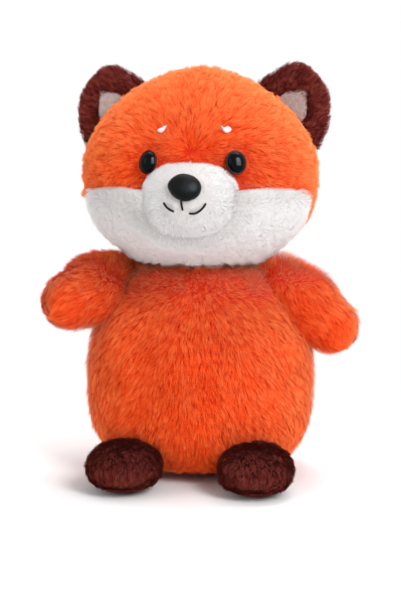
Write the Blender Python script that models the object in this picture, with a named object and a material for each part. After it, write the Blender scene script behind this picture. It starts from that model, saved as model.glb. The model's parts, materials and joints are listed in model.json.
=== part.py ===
"""A sitting plush fox, built as its maker sews it: fabric panels, fillings, ears, arms, feet and tail.

Metres, +Z up, the fox looks along -Y and its left is +X. The origin is the middle of the flat base.
Every soft body is a stack of rings along its own axis. A turn goes round a ring, with zero at the front
and a quarter turn at the fox's left. A row goes along the stack, from zero at its low end to one.
"""

from math import asin, cos, pi, radians, sin, tan
from typing import NamedTuple

import bmesh
import bpy
from mathutils import Matrix, Vector

# Clearances and fabric
SEAM_GAP = 0.0004  # between the edges of two panels that are sewn together
REST_GAP = 0.0004  # between a piece and what it lies on
FILLING_GAP = 0.0008  # between a filling and the fabric round it
SOCKET_GAP = 0.0006  # between a padded root and the hollow that it turns in
PLUSH_WALL = 0.0026  # backing and pile of the long plush
VELVET_WALL = 0.0018  # backing and pile of the ears
CUT_OVERRUN = 0.004  # how far a cutter passes what it cuts
PLUSH_INSIDE = PLUSH_WALL + FILLING_GAP
VELVET_INSIDE = VELVET_WALL + FILLING_GAP
MIDDLE_ROW = 0.5  # of a rounded body, at its widest
HOLE_ROW_SHARE = 0.05  # of a limb's rows, left open where it is filled and sewn on

# Torso
TORSO_HEIGHT = 0.1078
TORSO_HALF_WIDTH = 0.0606
TORSO_HALF_DEPTH = 0.0545
TORSO_SQUARENESS = 2.1  # 2 is an ellipse
TORSO_OUTLINE_SHARES = (  # of the half width, of the height, and how far back of the half depth
    (0.46, 0.0, 0.17),
    (0.64, 0.020, 0.145),
    (0.79, 0.070, 0.10),
    (0.885, 0.135, 0.065),
    (0.955, 0.215, 0.035),
    (0.99, 0.31, 0.015),
    (1.0, 0.43, 0.0),
    (0.99, 0.59, 0.0),
    (0.935, 0.72, 0.0),
    (0.825, 0.84, 0.0),
    (0.69, 0.93, 0.0),
    (0.52, 0.985, 0.0),
    (0.28, 0.998, 0.0),
    (0.0, 1.0, 0.0),
)
SIDE_SEAM_TURN = radians(62)
PELLET_BAG_HALF_WIDTH = 0.0260
PELLET_BAG_HEIGHT = 0.0240
PELLET_BAG_SOLE_FULLNESS = 3.0
PELLET_BAG_TOP_FULLNESS = 2.3

# Neck
NECK_RADIUS = 0.0155
NECK_LENGTH = 0.0017  # open between the torso and the head

# Head
HEAD_HALF_WIDTH = 0.0618
HEAD_HALF_DEPTH = 0.0515
HEAD_HALF_HEIGHT = 0.0520
HEAD_SQUARENESS = 2.15
CROWN_ROUNDNESS = 1.72  # exponent of the upper outline
JOWL_ROUNDNESS = 2.75  # exponent of the lower outline, which makes the cheeks full
CHEEK_SEAM_HEIGHT = 0.0420  # of the white panel's upper edge above the head's low end
CHEEK_SEAM_FALL = 0.0060  # how far that edge drops at the side of the face
FACE_SIDE_TURN = radians(74)
EAR_SEAM_TURN = radians(98)

# Muzzle and nose
MUZZLE_HALF_WIDTH = 0.0246
MUZZLE_HALF_HEIGHT = 0.0190
MUZZLE_HALF_DEPTH = 0.0250
MUZZLE_INSET = 0.0080  # of the muzzle's middle behind the front of the head
MUZZLE_HEIGHT = 0.0375  # of the muzzle's middle above the head's low end
MUZZLE_SQUARENESS = 2.2
NOSE_HALF_WIDTH = 0.0085
NOSE_HALF_HEIGHT = 0.0069
NOSE_THICKNESS = 0.0052
NOSE_RISE = radians(22)  # of the nose above the muzzle's axis
NOSE_TAPER_SHARE = 0.26  # narrower at its foot than at its brow
NOSE_SUNK_SHARE = 0.6  # of its thickness, padding behind the snout's surface
NOSE_BULGE_SHARE = 1.4  # of its thickness, from its back to its front

# Eyes and brows
FACE_TURN = radians(1.0)  # of both eyes and brows, toward the fox's left
EYE_HALF_WIDTH = 0.0052
EYE_HALF_HEIGHT = 0.0060
EYE_BULGE = 0.0042
EYE_TURN = radians(18.8)
EYE_HEIGHT = 0.0560  # above the head's low end
EYE_STEM_RADIUS = 0.0019
EYE_STEM_LENGTH = 0.0095
WASHER_RADIUS = 0.0058
WASHER_THICKNESS = 0.0014
BROW_HALF_WIDTH = 0.0028
BROW_HALF_HEIGHT = 0.0023
BROW_THICKNESS = 0.0009
BROW_TURN = radians(15.0)
BROW_HEIGHT = 0.0722  # above the head's low end

# Ears
EAR_INNER_HEIGHT = 0.0955  # of the root's inner end above the head's low end
EAR_OUTER_HEIGHT = 0.0590  # of its outer end
LEFT_EAR_HEIGHT = 0.0272  # above the line between both ends
RIGHT_EAR_HEIGHT = 0.0250  # flopped a little lower
EAR_MIDDLE_SHARE = 0.4  # of its height, which a skin shrinks toward
EAR_HALF_THICKNESS = 0.0062
EAR_FOOT_ROW_SHARE = 0.06  # of an ear's rows, left open where it is filled
EAR_OUTLINE_SHARES = (  # half width, half thickness, lean toward the inner end, height
    (0.0, 0.0, 0.0, -0.21),
    (0.62, 0.62, 0.0, -0.18),
    (0.92, 0.93, 0.0, -0.08),
    (1.0, 1.0, 0.0, 0.02),
    (0.94, 1.0, 0.02, 0.22),
    (0.85, 0.97, 0.07, 0.48),
    (0.71, 0.92, 0.14, 0.70),
    (0.55, 0.82, 0.19, 0.86),
    (0.35, 0.62, 0.23, 0.96),
    (0.0, 0.0, 0.26, 1.0),
)
EAR_SWING = radians(10)
LINING_INNER_TURN = radians(-29)
LINING_OUTER_TURN = radians(16)
LINING_LOW_ROW_SHARE = 0.21
LINING_HIGH_ROW_SHARE = 0.51
LINING_RECESS = 0.0018
LINING_WALL = 0.0016

# Arms
ARM_ROOT_RADIUS = 0.0140
ARM_TIP_RADIUS = 0.0162
ARM_SWELL = 0.0048
LIMB_ROOT_ROW_SHARE = 0.26  # of a limb's rows, on the ball at its root
LIMB_END_ROW_SHARE = 0.76  # where its rounded end begins
LIMB_SWELL_SHARPNESS = 1.5
ARM_REACH = 0.0332  # from the middle of the root to the middle of the tip
SHOULDER_ROW_SHARE = 0.765
SHOULDER_TURN = radians(87)
LEFT_ARM_DROP = radians(38)
RIGHT_ARM_DROP = radians(12)
LEFT_ARM_FORWARD = radians(4)
RIGHT_ARM_FORWARD = radians(47)

# Feet
FOOT_HALF_WIDTH = 0.0196
FOOT_HALF_LENGTH = 0.0205
FOOT_HALF_HEIGHT = 0.0133
FOOT_SQUARENESS = 2.25
FOOT_SOLE_FULLNESS = 2.3  # exponent of the outline below the foot's middle
FOOT_TOP_FULLNESS = 2.15
FOOT_FLAT = 0.0005  # cut off where the foot stands
FOOT_TURN = radians(28)
FOOT_ROW_SHARE = 0.18
FOOT_REACH = 0.0190  # of the foot's middle in front of the belly
SOLE_HEIGHT = 0.0042
SOLE_ROW_SHARES = (0.0, 0.45, 0.75, 1.0)  # of the rows below the sole's seam

# Tail
TAIL_ROOT_RADIUS = 0.0085
TAIL_END_RADIUS = 0.0060
TAIL_SWELL = 0.0100
TAIL_LENGTH = 0.0460
TAIL_RISE = radians(48)
TAIL_ROW_SHARE = 0.36
TAIL_INSET = 0.0030  # of the root's middle inside the torso
TAIL_TIP_ROW_SHARE = 0.66

# Which side of the fox, and its sign along X
SIDES = (("left", 1), ("right", -1))

# Facets
POLE_MERGE = SEAM_GAP / 100  # points nearer than this are one point
BALL_TURNS = 14
BALL_ROWS = 8
BODY_TURNS = 24
BODY_ROWS = 12
LIMB_TURNS = 14
LIMB_ROWS = 10
BUTTON_SIDES = 16
MUZZLE_TURNS = 20
MUZZLE_ROWS = 6
NOSE_SIDES = 20
OUTLINE_TURNS = 40
OUTLINE_ROWS = 20
DOME_RINGS = 5
BROW_RINGS = 3
FRONT_COLUMNS = 10
BACK_COLUMNS = 9
FACE_COLUMNS = 14
FACE_ROWS = 6
CROWN_COLUMNS = 18
CROWN_ROWS = 7
GUSSET_COLUMNS = 2
EAR_ROWS = 10
FOOT_ROWS = 7
TAIL_ROWS = 7
TAIL_TIP_ROWS = 4
LINING_COLUMNS = 4
LINING_ROWS = 5
SMALL_STEP = 0.002  # in turn and row, to find a direction on a surface
CREASE_ANGLE = radians(40)  # an edge sharper than this isn't shaded smooth

# Colours and roughness
FABRIC_ROUGHNESS = 0.95
SATIN_ROUGHNESS = 0.4
GLOSS_ROUGHNESS = 0.12
ORANGE = (0.83, 0.095, 0.018)
BROWN = (0.085, 0.020, 0.016)
WHITE = (0.84, 0.82, 0.80)
LINING_GREY = (0.52, 0.38, 0.36)
BLACK = (0.008, 0.008, 0.009)
FIBRE = (0.80, 0.80, 0.78)
PELLET_CLOTH = (0.60, 0.60, 0.58)
WASHER_WHITE = (0.70, 0.70, 0.68)


class Form(NamedTuple):
    """A soft body: where its stack of rings stands, the rings' outline and how square they are."""

    place: Matrix
    profile: object  # (row, inset) gives half width, half depth, height, and shift across and back
    squareness: float


def power(value, exponent):
    """A signed power, which keeps the side that the value is on."""
    return abs(value) ** exponent * (1 if value >= 0 else -1)


def curve_at(points, share):
    """A smooth curve through hand-placed points, at a share of the way along them."""
    spans = len(points) - 1
    place = min(max(share, 0.0), 1.0) * spans
    first = min(int(place), spans - 1)
    t = place - first
    near = [points[min(max(first + step, 0), spans)] for step in (-1, 0, 1, 2)]
    found = []
    for a, b, c, d in zip(*near):
        slope = (c - a) * t
        bend = (2 * a - 5 * b + 4 * c - d) * t * t
        twist = (3 * b - a - 3 * c + d) * t**3
        found.append(b + (slope + bend + twist) / 2)
    return found


def torso_profile(row, inset):
    width, height, back = curve_at(TORSO_OUTLINE_SHARES, row)
    width = max(width, 0.0)
    along = inset + (TORSO_HEIGHT - 2 * inset) * height
    half_depth = TORSO_HALF_DEPTH - inset
    return (TORSO_HALF_WIDTH - inset) * width, half_depth * width, along, 0.0, half_depth * back


def rounded_profile(half_width, half_depth, half_height, low_exponent, high_exponent):
    """The profile of a rounded body whose lower and upper halves have their own fullness."""

    def profile(row, inset):
        angle = (row - MIDDLE_ROW) * pi
        exponent = 2 / (high_exponent if angle >= 0 else low_exponent)
        width = abs(cos(angle)) ** exponent if 0 < row < 1 else 0.0
        height = power(sin(angle), exponent)
        along = (half_height - inset) * height
        return (half_width - inset) * width, (half_depth - inset) * width, along, 0.0, 0.0

    return profile


def row_at_height(share, low_exponent, high_exponent):
    """The row of a rounded body at a height, given as a share of its half height from its middle."""
    exponent = (high_exponent if share >= 0 else low_exponent) / 2
    return MIDDLE_ROW + asin(power(share, exponent)) / pi


def limb_profile(root_radius, end_radius, swell, reach):
    """A limb: a ball at its root, a swelling length and a rounded end."""
    root_share = LIMB_ROOT_ROW_SHARE
    end_share = LIMB_END_ROW_SHARE

    def profile(row, inset):
        if row < root_share:
            angle = (1 - row / root_share) * pi / 2
            radius = (root_radius - inset) * cos(angle)
            along = -(root_radius - inset) * sin(angle)
        elif row > end_share:
            angle = (row - end_share) / (1 - end_share) * pi / 2
            radius = (end_radius - inset) * cos(angle)
            along = reach + (end_radius - inset) * sin(angle)
        else:
            share = (row - root_share) / (end_share - root_share)
            straight = root_radius + (end_radius - root_radius) * share
            radius = straight + swell * sin(pi * share) ** LIMB_SWELL_SHARPNESS - inset
            along = reach * share
        radius = max(radius, 0.0) if 0 < row < 1 else 0.0
        return radius, radius, along, 0.0, 0.0

    return profile


def ear_profile(half_width, total):
    def profile(row, inset):
        width, thickness, lean, height = curve_at(EAR_OUTLINE_SHARES, row)
        width = max(width, 0.0) if 0 < row < 1 else 0.0
        thickness = max(thickness, 0.0) if 0 < row < 1 else 0.0
        middle = total * EAR_MIDDLE_SHARE
        along = middle + (total * height - middle) * (1 - inset / (total - middle))
        half_thickness = (EAR_HALF_THICKNESS - inset) * thickness
        return (half_width - inset) * width, half_thickness, along, -half_width * lean, 0.0

    return profile


def slot_profile(ear):
    """The space that an ear sweeps as it swings on its root."""

    def profile(row, inset):
        width, thickness, along, across, back = ear(row, inset - SOCKET_GAP)
        sweep = max(along, 0.0) * tan(EAR_SWING) if 0 < row < 1 else 0.0
        return width, thickness + sweep, along, across, back

    return profile


def surface(form, turn, row, inset=0.0):
    """A point on a form, or that far under its surface."""
    width, depth, along, across, back = form.profile(row, inset)
    bend = 2 / form.squareness
    x = across + width * power(sin(turn), bend)
    y = back - depth * power(cos(turn), bend)
    return form.place @ Vector((x, y, along))


def outward(form, turn, row):
    """The direction straight out of a form's surface."""
    step = SMALL_STEP
    sideways = surface(form, turn + step, row) - surface(form, turn - step, row)
    upwards = surface(form, turn, row + step) - surface(form, turn, row - step)
    return sideways.cross(upwards).normalized()


def spread(low, high, count):
    """Evenly spaced values from low to high."""
    return [low + (high - low) * i / count for i in range(count + 1)]


def drawn_back(grid, gap, sides, low, high):
    """The grid of points with its edges pulled in, so that a seam stays open by the gap."""
    moved = [list(line) for line in grid]
    half = gap / 2
    for line, source in zip(moved, grid):
        if low:
            line[0] = source[0] + (source[1] - source[0]).normalized() * half
        if high:
            line[-1] = source[-1] + (source[-2] - source[-1]).normalized() * half
    if sides:
        for edge, inner in ((0, 1), (-1, -2)):
            for i in range(len(moved[edge])):
                pull = moved[inner][i] - moved[edge][i]
                if pull.length > half:
                    moved[edge][i] = moved[edge][i] + pull.normalized() * half
    return moved


def add_object(name, mesh, material, parent):
    """The object of a mesh whose points are in world space, hung from its joint's empty."""
    origin = parent.matrix_world if parent else Matrix()
    mesh.transform(origin.inverted())
    made = bpy.data.objects.new(name, mesh)
    bpy.context.scene.collection.objects.link(made)
    made.parent = parent
    if material:
        mesh.materials.append(material)
    return made


def finished_mesh(name, points, faces):
    """A closed mesh with its faces outward, doubled points at poles joined, and round shading."""
    shape = bmesh.new()
    corners = [shape.verts.new(point) for point in points]
    for face in faces:
        shape.faces.new([corners[i] for i in face])
    bmesh.ops.remove_doubles(shape, verts=shape.verts, dist=POLE_MERGE)
    bmesh.ops.recalc_face_normals(shape, faces=shape.faces)
    mesh = bpy.data.meshes.new(name)
    shape.to_mesh(mesh)
    shape.free()
    mesh.shade_smooth()
    mesh.set_sharp_from_angle(angle=CREASE_ANGLE)
    return mesh


def lofted_mesh(name, rings, looped):
    """A closed mesh over rings of points, capped at both ends, or joined end to end where looped."""
    count = len(rings[0])
    points = [point for ring in rings for point in ring]
    faces = []
    last = len(rings) if looped else len(rings) - 1
    for k in range(last):
        low = k * count
        high = (k + 1) % len(rings) * count
        for i in range(count):
            j = (i + 1) % count
            faces.append((low + i, low + j, high + j, high + i))
    if not looped:
        faces.append(tuple(range(count)))
        faces.append(tuple(range(len(points) - count, len(points))))
    return finished_mesh(name, points, faces)


def ring_of(form, row, inset, turns):
    return [surface(form, 2 * pi * i / turns, row, inset) for i in range(turns)]


def body(name, form, inset, turns, rows, material, parent, low=0.0):
    """A solid that fills a form, or its upper part."""
    rings = [ring_of(form, row, inset, turns) for row in spread(low, 1.0, rows)]
    return add_object(name, lofted_mesh(name, rings, False), material, parent)


def sleeve(name, form, wall, turns, rows, low, high, material, parent, gap_high=0.0):
    """Fabric sewn into a tube round a form: an outer and an inner skin, joined at the open edge or edges."""
    skins = []
    for inset in (0.0, wall):
        grid = []
        for i in range(turns):
            turn = 2 * pi * i / turns
            grid.append([surface(form, turn, row, inset) for row in spread(low, high, rows)])
        skins.append(drawn_back(grid, gap_high, False, False, gap_high > 0))
    outer, inner = skins
    rings = [[outer[i][k] for i in range(turns)] for k in range(rows + 1)]
    rings += [[inner[i][k] for i in range(turns)] for k in range(rows, -1, -1)]
    return add_object(name, lofted_mesh(name, rings, True), material, parent)


def panel(name, form, insets, turn_limits, columns, low, high, rows, material, parent, gap=SEAM_GAP):
    """A piece of cut fabric that lies on a form, between two turns and between two row limits."""
    skins = []
    for inset in insets:
        grid = []
        for turn in spread(turn_limits[0], turn_limits[1], columns):
            grid.append([surface(form, turn, row, inset) for row in spread(low(turn), high(turn), rows)])
        skins.append(drawn_back(grid, gap, True, True, True))
    count = rows + 1
    points = [point for grid in skins for line in grid for point in line]
    half = len(points) // 2
    faces = []
    for i in range(columns):
        for k in range(rows):
            a = i * count + k
            quad = (a, a + count, a + count + 1, a + 1)
            faces.append(quad)
            faces.append(tuple(half + n for n in reversed(quad)))
    rim = [i * count for i in range(columns + 1)]
    rim += [columns * count + k for k in range(1, count)]
    rim += [i * count + rows for i in range(columns - 1, -1, -1)]
    rim += [k for k in range(rows - 1, 0, -1)]
    for a, b in zip(rim, rim[1:] + rim[:1]):
        faces.append((b, a, half + a, half + b))
    return add_object(name, finished_mesh(name, points, faces), material, parent)


def turned(name, place, rings, sides, material, parent, looped=False, taper_share=0.0):
    """A small piece from rings of half width, half height and place along its axis."""
    loops = []
    for half_width, half_height, along in rings:
        loop = []
        for i in range(sides):
            angle = 2 * pi * i / sides
            up = cos(angle)
            wide = half_width * sin(angle) * (1 + taper_share * up)
            loop.append(place @ Vector((wide, half_height * up, along)))
        loops.append(loop)
    return add_object(name, lofted_mesh(name, loops, looped), material, parent)


def dome_rings(half_width, half_height, rise, count):
    """Rings from a flat back at zero up to the top of a dome."""
    rings = []
    for k in range(count + 1):
        angle = pi / 2 * k / count
        share = cos(angle) if k < count else 0.0
        rings.append((half_width * share, half_height * share, rise * sin(angle)))
    return rings


def facing(point, direction):
    """A place with its third axis along a direction and its second axis as near upright as it can be."""
    ahead = direction.normalized()
    across = Vector((0, 0, 1)).cross(ahead).normalized()
    turn = Matrix((across, ahead.cross(across), ahead)).transposed()
    return Matrix.Translation(point) @ turn.to_4x4()


def along_axis(point, direction):
    """A place whose stack axis runs along a direction, with the front of its rings low."""
    up = direction.normalized()
    across = up.cross(Vector((0, 0, 1))).normalized()
    turn = Matrix((across, up.cross(across), up)).transposed()
    return Matrix.Translation(point) @ turn.to_4x4()


def ball(name, centre, radius, material=None, parent=None):
    profile = rounded_profile(radius, radius, radius, 2, 2)
    form = Form(Matrix.Translation(centre), profile, 2)
    return body(name, form, 0.0, BALL_TURNS, BALL_ROWS, material, parent)


def as_cutter(made):
    made.hide_render = True
    made.display_type = "WIRE"
    return made


def cut(target, *cutters):
    """Cuts each cutter out of the target."""
    for cutter in cutters:
        step = target.modifiers.new("cut by " + cutter.name, "BOOLEAN")
        step.operation = "DIFFERENCE"
        step.solver = "EXACT"
        step.object = cutter


def pivot(name, place, parent=None):
    """An empty at a joint, which the pieces that move with it hang from."""
    made = bpy.data.objects.new(name, None)
    made.empty_display_size = NECK_RADIUS
    bpy.context.scene.collection.objects.link(made)
    made.parent = parent
    made.location = place - (parent.matrix_world.translation if parent else Vector())
    bpy.context.view_layer.update()
    return made


def material(name, colour, roughness):
    made = bpy.data.materials.new(name)
    made.use_nodes = True
    made.diffuse_color = (*colour, 1)
    shader = made.node_tree.nodes["Principled BSDF"]
    shader.inputs["Base Color"].default_value = (*colour, 1)
    shader.inputs["Roughness"].default_value = roughness
    shader.inputs["Metallic"].default_value = 0
    return made


def clear_scene():
    for old in list(bpy.data.objects):
        bpy.data.objects.remove(old, do_unlink=True)


def make_materials():
    return {
        "orange": material("orange_plush", ORANGE, FABRIC_ROUGHNESS),
        "brown": material("brown_plush", BROWN, FABRIC_ROUGHNESS),
        "white": material("white_plush", WHITE, FABRIC_ROUGHNESS),
        "lining": material("ear_lining", LINING_GREY, FABRIC_ROUGHNESS),
        "gloss": material("eye_gloss", BLACK, GLOSS_ROUGHNESS),
        "satin": material("nose_satin", BLACK, SATIN_ROUGHNESS),
        "fibre": material("polyester_fibre", FIBRE, FABRIC_ROUGHNESS),
        "bag": material("pellet_bag_cloth", PELLET_CLOTH, FABRIC_ROUGHNESS),
        "washer": material("washer_plastic", WASHER_WHITE, SATIN_ROUGHNESS),
    }


# Forms, each placed from the one that carries it
HEAD_LOW = TORSO_HEIGHT + NECK_LENGTH
NECK_MIDDLE = Vector((0, 0, TORSO_HEIGHT + NECK_LENGTH / 2))
HEAD_MIDDLE = Vector((0, 0, HEAD_LOW + HEAD_HALF_HEIGHT))
TORSO = Form(Matrix(), torso_profile, TORSO_SQUARENESS)
HEAD = Form(
    Matrix.Translation(HEAD_MIDDLE),
    rounded_profile(HEAD_HALF_WIDTH, HEAD_HALF_DEPTH, HEAD_HALF_HEIGHT, JOWL_ROUNDNESS, CROWN_ROUNDNESS),
    HEAD_SQUARENESS,
)


def head_row(height):
    """The row of the head at a height above its low end."""
    return row_at_height(height / HEAD_HALF_HEIGHT - 1, JOWL_ROUNDNESS, CROWN_ROUNDNESS)


def cheek_row(turn):
    """The row of the white panel's upper edge, which falls off at the side of the face."""
    share = min(abs(turn) / FACE_SIDE_TURN, 1.0)
    return head_row(CHEEK_SEAM_HEIGHT - CHEEK_SEAM_FALL * share**6)


def make_torso(looks):
    """The three standing panels, the base, the filling and the bag of pellets that keeps the fox upright."""
    skin = (0.0, PLUSH_WALL)
    whole = {"low": lambda turn: 0.0, "high": lambda turn: 1.0, "rows": BODY_ROWS}
    around = {"form": TORSO, "insets": skin, "material": looks["orange"], "parent": None, **whole}
    seam = SIDE_SEAM_TURN
    front = panel("torso_front_panel", turn_limits=(-seam, seam), columns=FRONT_COLUMNS, **around)
    left = panel("torso_back_panel_left", turn_limits=(seam, pi), columns=BACK_COLUMNS, **around)
    right = panel("torso_back_panel_right", turn_limits=(pi, 2 * pi - seam), columns=BACK_COLUMNS, **around)
    base_inset = SEAM_GAP
    rings = []
    for height, inset in ((0.0, base_inset), (PLUSH_WALL, base_inset + PLUSH_WALL)):
        ring = ring_of(TORSO, 0.0, inset, BODY_TURNS)
        rings.append([Vector((p.x, p.y, height)) for p in ring])
    add_object("torso_base_panel", lofted_mesh("torso_base_panel", rings, False), looks["orange"], None)
    filling = body("torso_filling", TORSO, PLUSH_INSIDE, BODY_TURNS, BODY_ROWS, looks["fibre"], None)
    return [front, left, right], filling


def make_pellet_bag(looks, filling):
    """The bag of pellets on the base panel, in a pocket of the filling that is open below."""
    radius = PELLET_BAG_HALF_WIDTH
    half_height = PELLET_BAG_HEIGHT / 2
    middle = Matrix.Translation((0, 0, PLUSH_WALL + 2 * REST_GAP + half_height))
    shape = rounded_profile(radius, radius, half_height, PELLET_BAG_SOLE_FULLNESS, PELLET_BAG_TOP_FULLNESS)
    form = Form(middle, shape, 2)
    body("pellet_bag", form, 0.0, LIMB_TURNS, FACE_ROWS, looks["bag"], None)
    rings = []
    for row in spread(MIDDLE_ROW, 1.0, DOME_RINGS):
        wide, _, along, _, _ = shape(row, -REST_GAP)
        rings.append((wide, wide, along))
    rings.insert(0, (rings[0][0], rings[0][0], -half_height - CUT_OVERRUN))
    cut(filling, as_cutter(turned("pellet_pocket", middle, rings, LIMB_TURNS, None, None)))


def make_neck(looks, neck):
    ball("neck_wad", NECK_MIDDLE, NECK_RADIUS, looks["orange"], neck)
    return as_cutter(ball("neck_hollow", NECK_MIDDLE, NECK_RADIUS + SOCKET_GAP))


def make_head(looks, head):
    """The white face, the crown, the cheek gussets and the back of the head, over one filling."""
    skin = (0.0, PLUSH_WALL)
    side = FACE_SIDE_TURN
    ear_seam = EAR_SEAM_TURN
    back = 2 * pi - ear_seam
    common = {"form": HEAD, "insets": skin, "parent": head}

    def bottom(turn):
        return 0.0

    def top(turn):
        return 1.0

    face = panel(
        "face_panel", turn_limits=(-side, side), columns=FACE_COLUMNS, low=bottom, high=cheek_row,
        rows=FACE_ROWS, material=looks["white"], **common,
    )
    crown = panel(
        "crown_panel", turn_limits=(-ear_seam, ear_seam), columns=CROWN_COLUMNS, low=cheek_row, high=top,
        rows=CROWN_ROWS, material=looks["orange"], **common,
    )
    gussets = []
    for name, limits in (("left", (side, ear_seam)), ("right", (-ear_seam, -side))):
        gussets.append(panel(
            "cheek_gusset_" + name, turn_limits=limits, columns=GUSSET_COLUMNS, low=bottom, high=cheek_row,
            rows=FACE_ROWS, material=looks["orange"], **common,
        ))
    rear = panel(
        "head_back_panel", turn_limits=(ear_seam, back), columns=FACE_COLUMNS, low=bottom, high=top,
        rows=BODY_ROWS, material=looks["orange"], **common,
    )
    filling = body("head_filling", HEAD, PLUSH_INSIDE, BODY_TURNS, BODY_ROWS, looks["fibre"], head)
    return face, crown, gussets, rear, filling


def make_muzzle(looks, head):
    """The white snout, sewn on over the face, and its own filling."""
    front = surface(HEAD, 0.0, head_row(MUZZLE_HEIGHT))
    middle = front + Vector((0, MUZZLE_INSET, 0))
    place = facing(middle, Vector((0, -1, 0)))
    shape = rounded_profile(MUZZLE_HALF_WIDTH, MUZZLE_HALF_HEIGHT, MUZZLE_HALF_DEPTH, 2, MUZZLE_SQUARENESS)
    form = Form(place, shape, MUZZLE_SQUARENESS)
    facets = (MUZZLE_TURNS, MUZZLE_ROWS)
    half = MIDDLE_ROW
    cover = sleeve("muzzle_panel", form, PLUSH_WALL, *facets, half, 1.0, looks["white"], head)
    filling = body("muzzle_filling", form, PLUSH_INSIDE, *facets, looks["fibre"], head, low=half)
    stop = as_cutter(body("head_outline", HEAD, -REST_GAP, OUTLINE_TURNS, OUTLINE_ROWS, None, None))
    cut(cover, stop)
    cut(filling, stop)
    return form, place


def make_nose(looks, head, muzzle, place):
    """The padded satin nose, shaped to the snout that it is sewn on."""
    lift = MUZZLE_HALF_HEIGHT * sin(NOSE_RISE)
    depth = MUZZLE_HALF_DEPTH * cos(NOSE_RISE)
    point = place @ Vector((0, lift, depth))
    direction = Vector((0, -cos(NOSE_RISE), sin(NOSE_RISE)))
    seat = facing(point - direction * NOSE_THICKNESS * NOSE_SUNK_SHARE, direction)
    rings = dome_rings(NOSE_HALF_WIDTH, NOSE_HALF_HEIGHT, NOSE_THICKNESS * NOSE_BULGE_SHARE, DOME_RINGS)
    nose = turned("nose", seat, rings, NOSE_SIDES, looks["satin"], head, taper_share=NOSE_TAPER_SHARE)
    stop = as_cutter(body("muzzle_outline", muzzle, -REST_GAP, OUTLINE_TURNS, OUTLINE_ROWS, None, None))
    cut(nose, stop)


def make_eyes(looks, head, crown, filling):
    """Each eye is a glossy oval dome with a stem through the crown, held by a washer behind the fabric."""
    for name, side in SIDES:
        turn = side * EYE_TURN + FACE_TURN
        row = head_row(EYE_HEIGHT)
        direction = outward(HEAD, turn, row)
        seat = facing(surface(HEAD, turn, row) + direction * REST_GAP, direction)
        stem = EYE_STEM_RADIUS
        dome = dome_rings(EYE_HALF_WIDTH, EYE_HALF_HEIGHT, EYE_BULGE, DOME_RINGS)
        rings = [(stem, stem, -EYE_STEM_LENGTH), (stem, stem, 0.0), *dome]
        turned("eye_" + name, seat, rings, BUTTON_SIDES, looks["gloss"], head)
        bore = stem + REST_GAP
        near = -(REST_GAP + PLUSH_WALL + REST_GAP + WASHER_RADIUS**2 / (2 * HEAD_HALF_DEPTH))
        far = near - WASHER_THICKNESS
        rings = [
            (bore, bore, near), (WASHER_RADIUS, WASHER_RADIUS, near),
            (WASHER_RADIUS, WASHER_RADIUS, far), (bore, bore, far),
        ]
        turned("eye_washer_" + name, seat, rings, BUTTON_SIDES, looks["washer"], head, looped=True)
        wide = WASHER_RADIUS + REST_GAP
        shoulder = near + REST_GAP / 2
        end = -EYE_STEM_LENGTH - REST_GAP
        rings = [(wide, wide, end), (wide, wide, shoulder)]
        rings += [(bore, bore, shoulder), (bore, bore, CUT_OVERRUN)]
        cutter = as_cutter(turned("eye_bore_" + name, seat, rings, BUTTON_SIDES, None, None))
        cut(crown, cutter)
        cut(filling, cutter)


def make_brows(looks, head):
    """The two small white pads stitched on above the eyes."""
    for name, side in SIDES:
        turn = side * BROW_TURN + FACE_TURN
        row = head_row(BROW_HEIGHT)
        direction = outward(HEAD, turn, row)
        seat = facing(surface(HEAD, turn, row) + direction * REST_GAP, direction)
        rings = dome_rings(BROW_HALF_WIDTH, BROW_HALF_HEIGHT, BROW_THICKNESS, BROW_RINGS)
        turned("brow_" + name, seat, rings, BUTTON_SIDES, looks["white"], head)


def ear_place(side):
    """An ear's hinge line on the seam between crown and back, and half of its length."""
    inner = surface(HEAD, side * EAR_SEAM_TURN, head_row(EAR_INNER_HEIGHT))
    outer = surface(HEAD, side * EAR_SEAM_TURN, head_row(EAR_OUTER_HEIGHT))
    middle = (inner + outer) / 2
    across = (outer - inner).normalized()
    flat = Vector((sin(side * EAR_SEAM_TURN), -cos(side * EAR_SEAM_TURN), 0)).normalized()
    up = (flat - across * flat.dot(across)).normalized()
    turn = Matrix((across, up.cross(across), up)).transposed()
    return Matrix.Translation(middle) @ turn.to_4x4(), (outer - inner).length / 2


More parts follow.
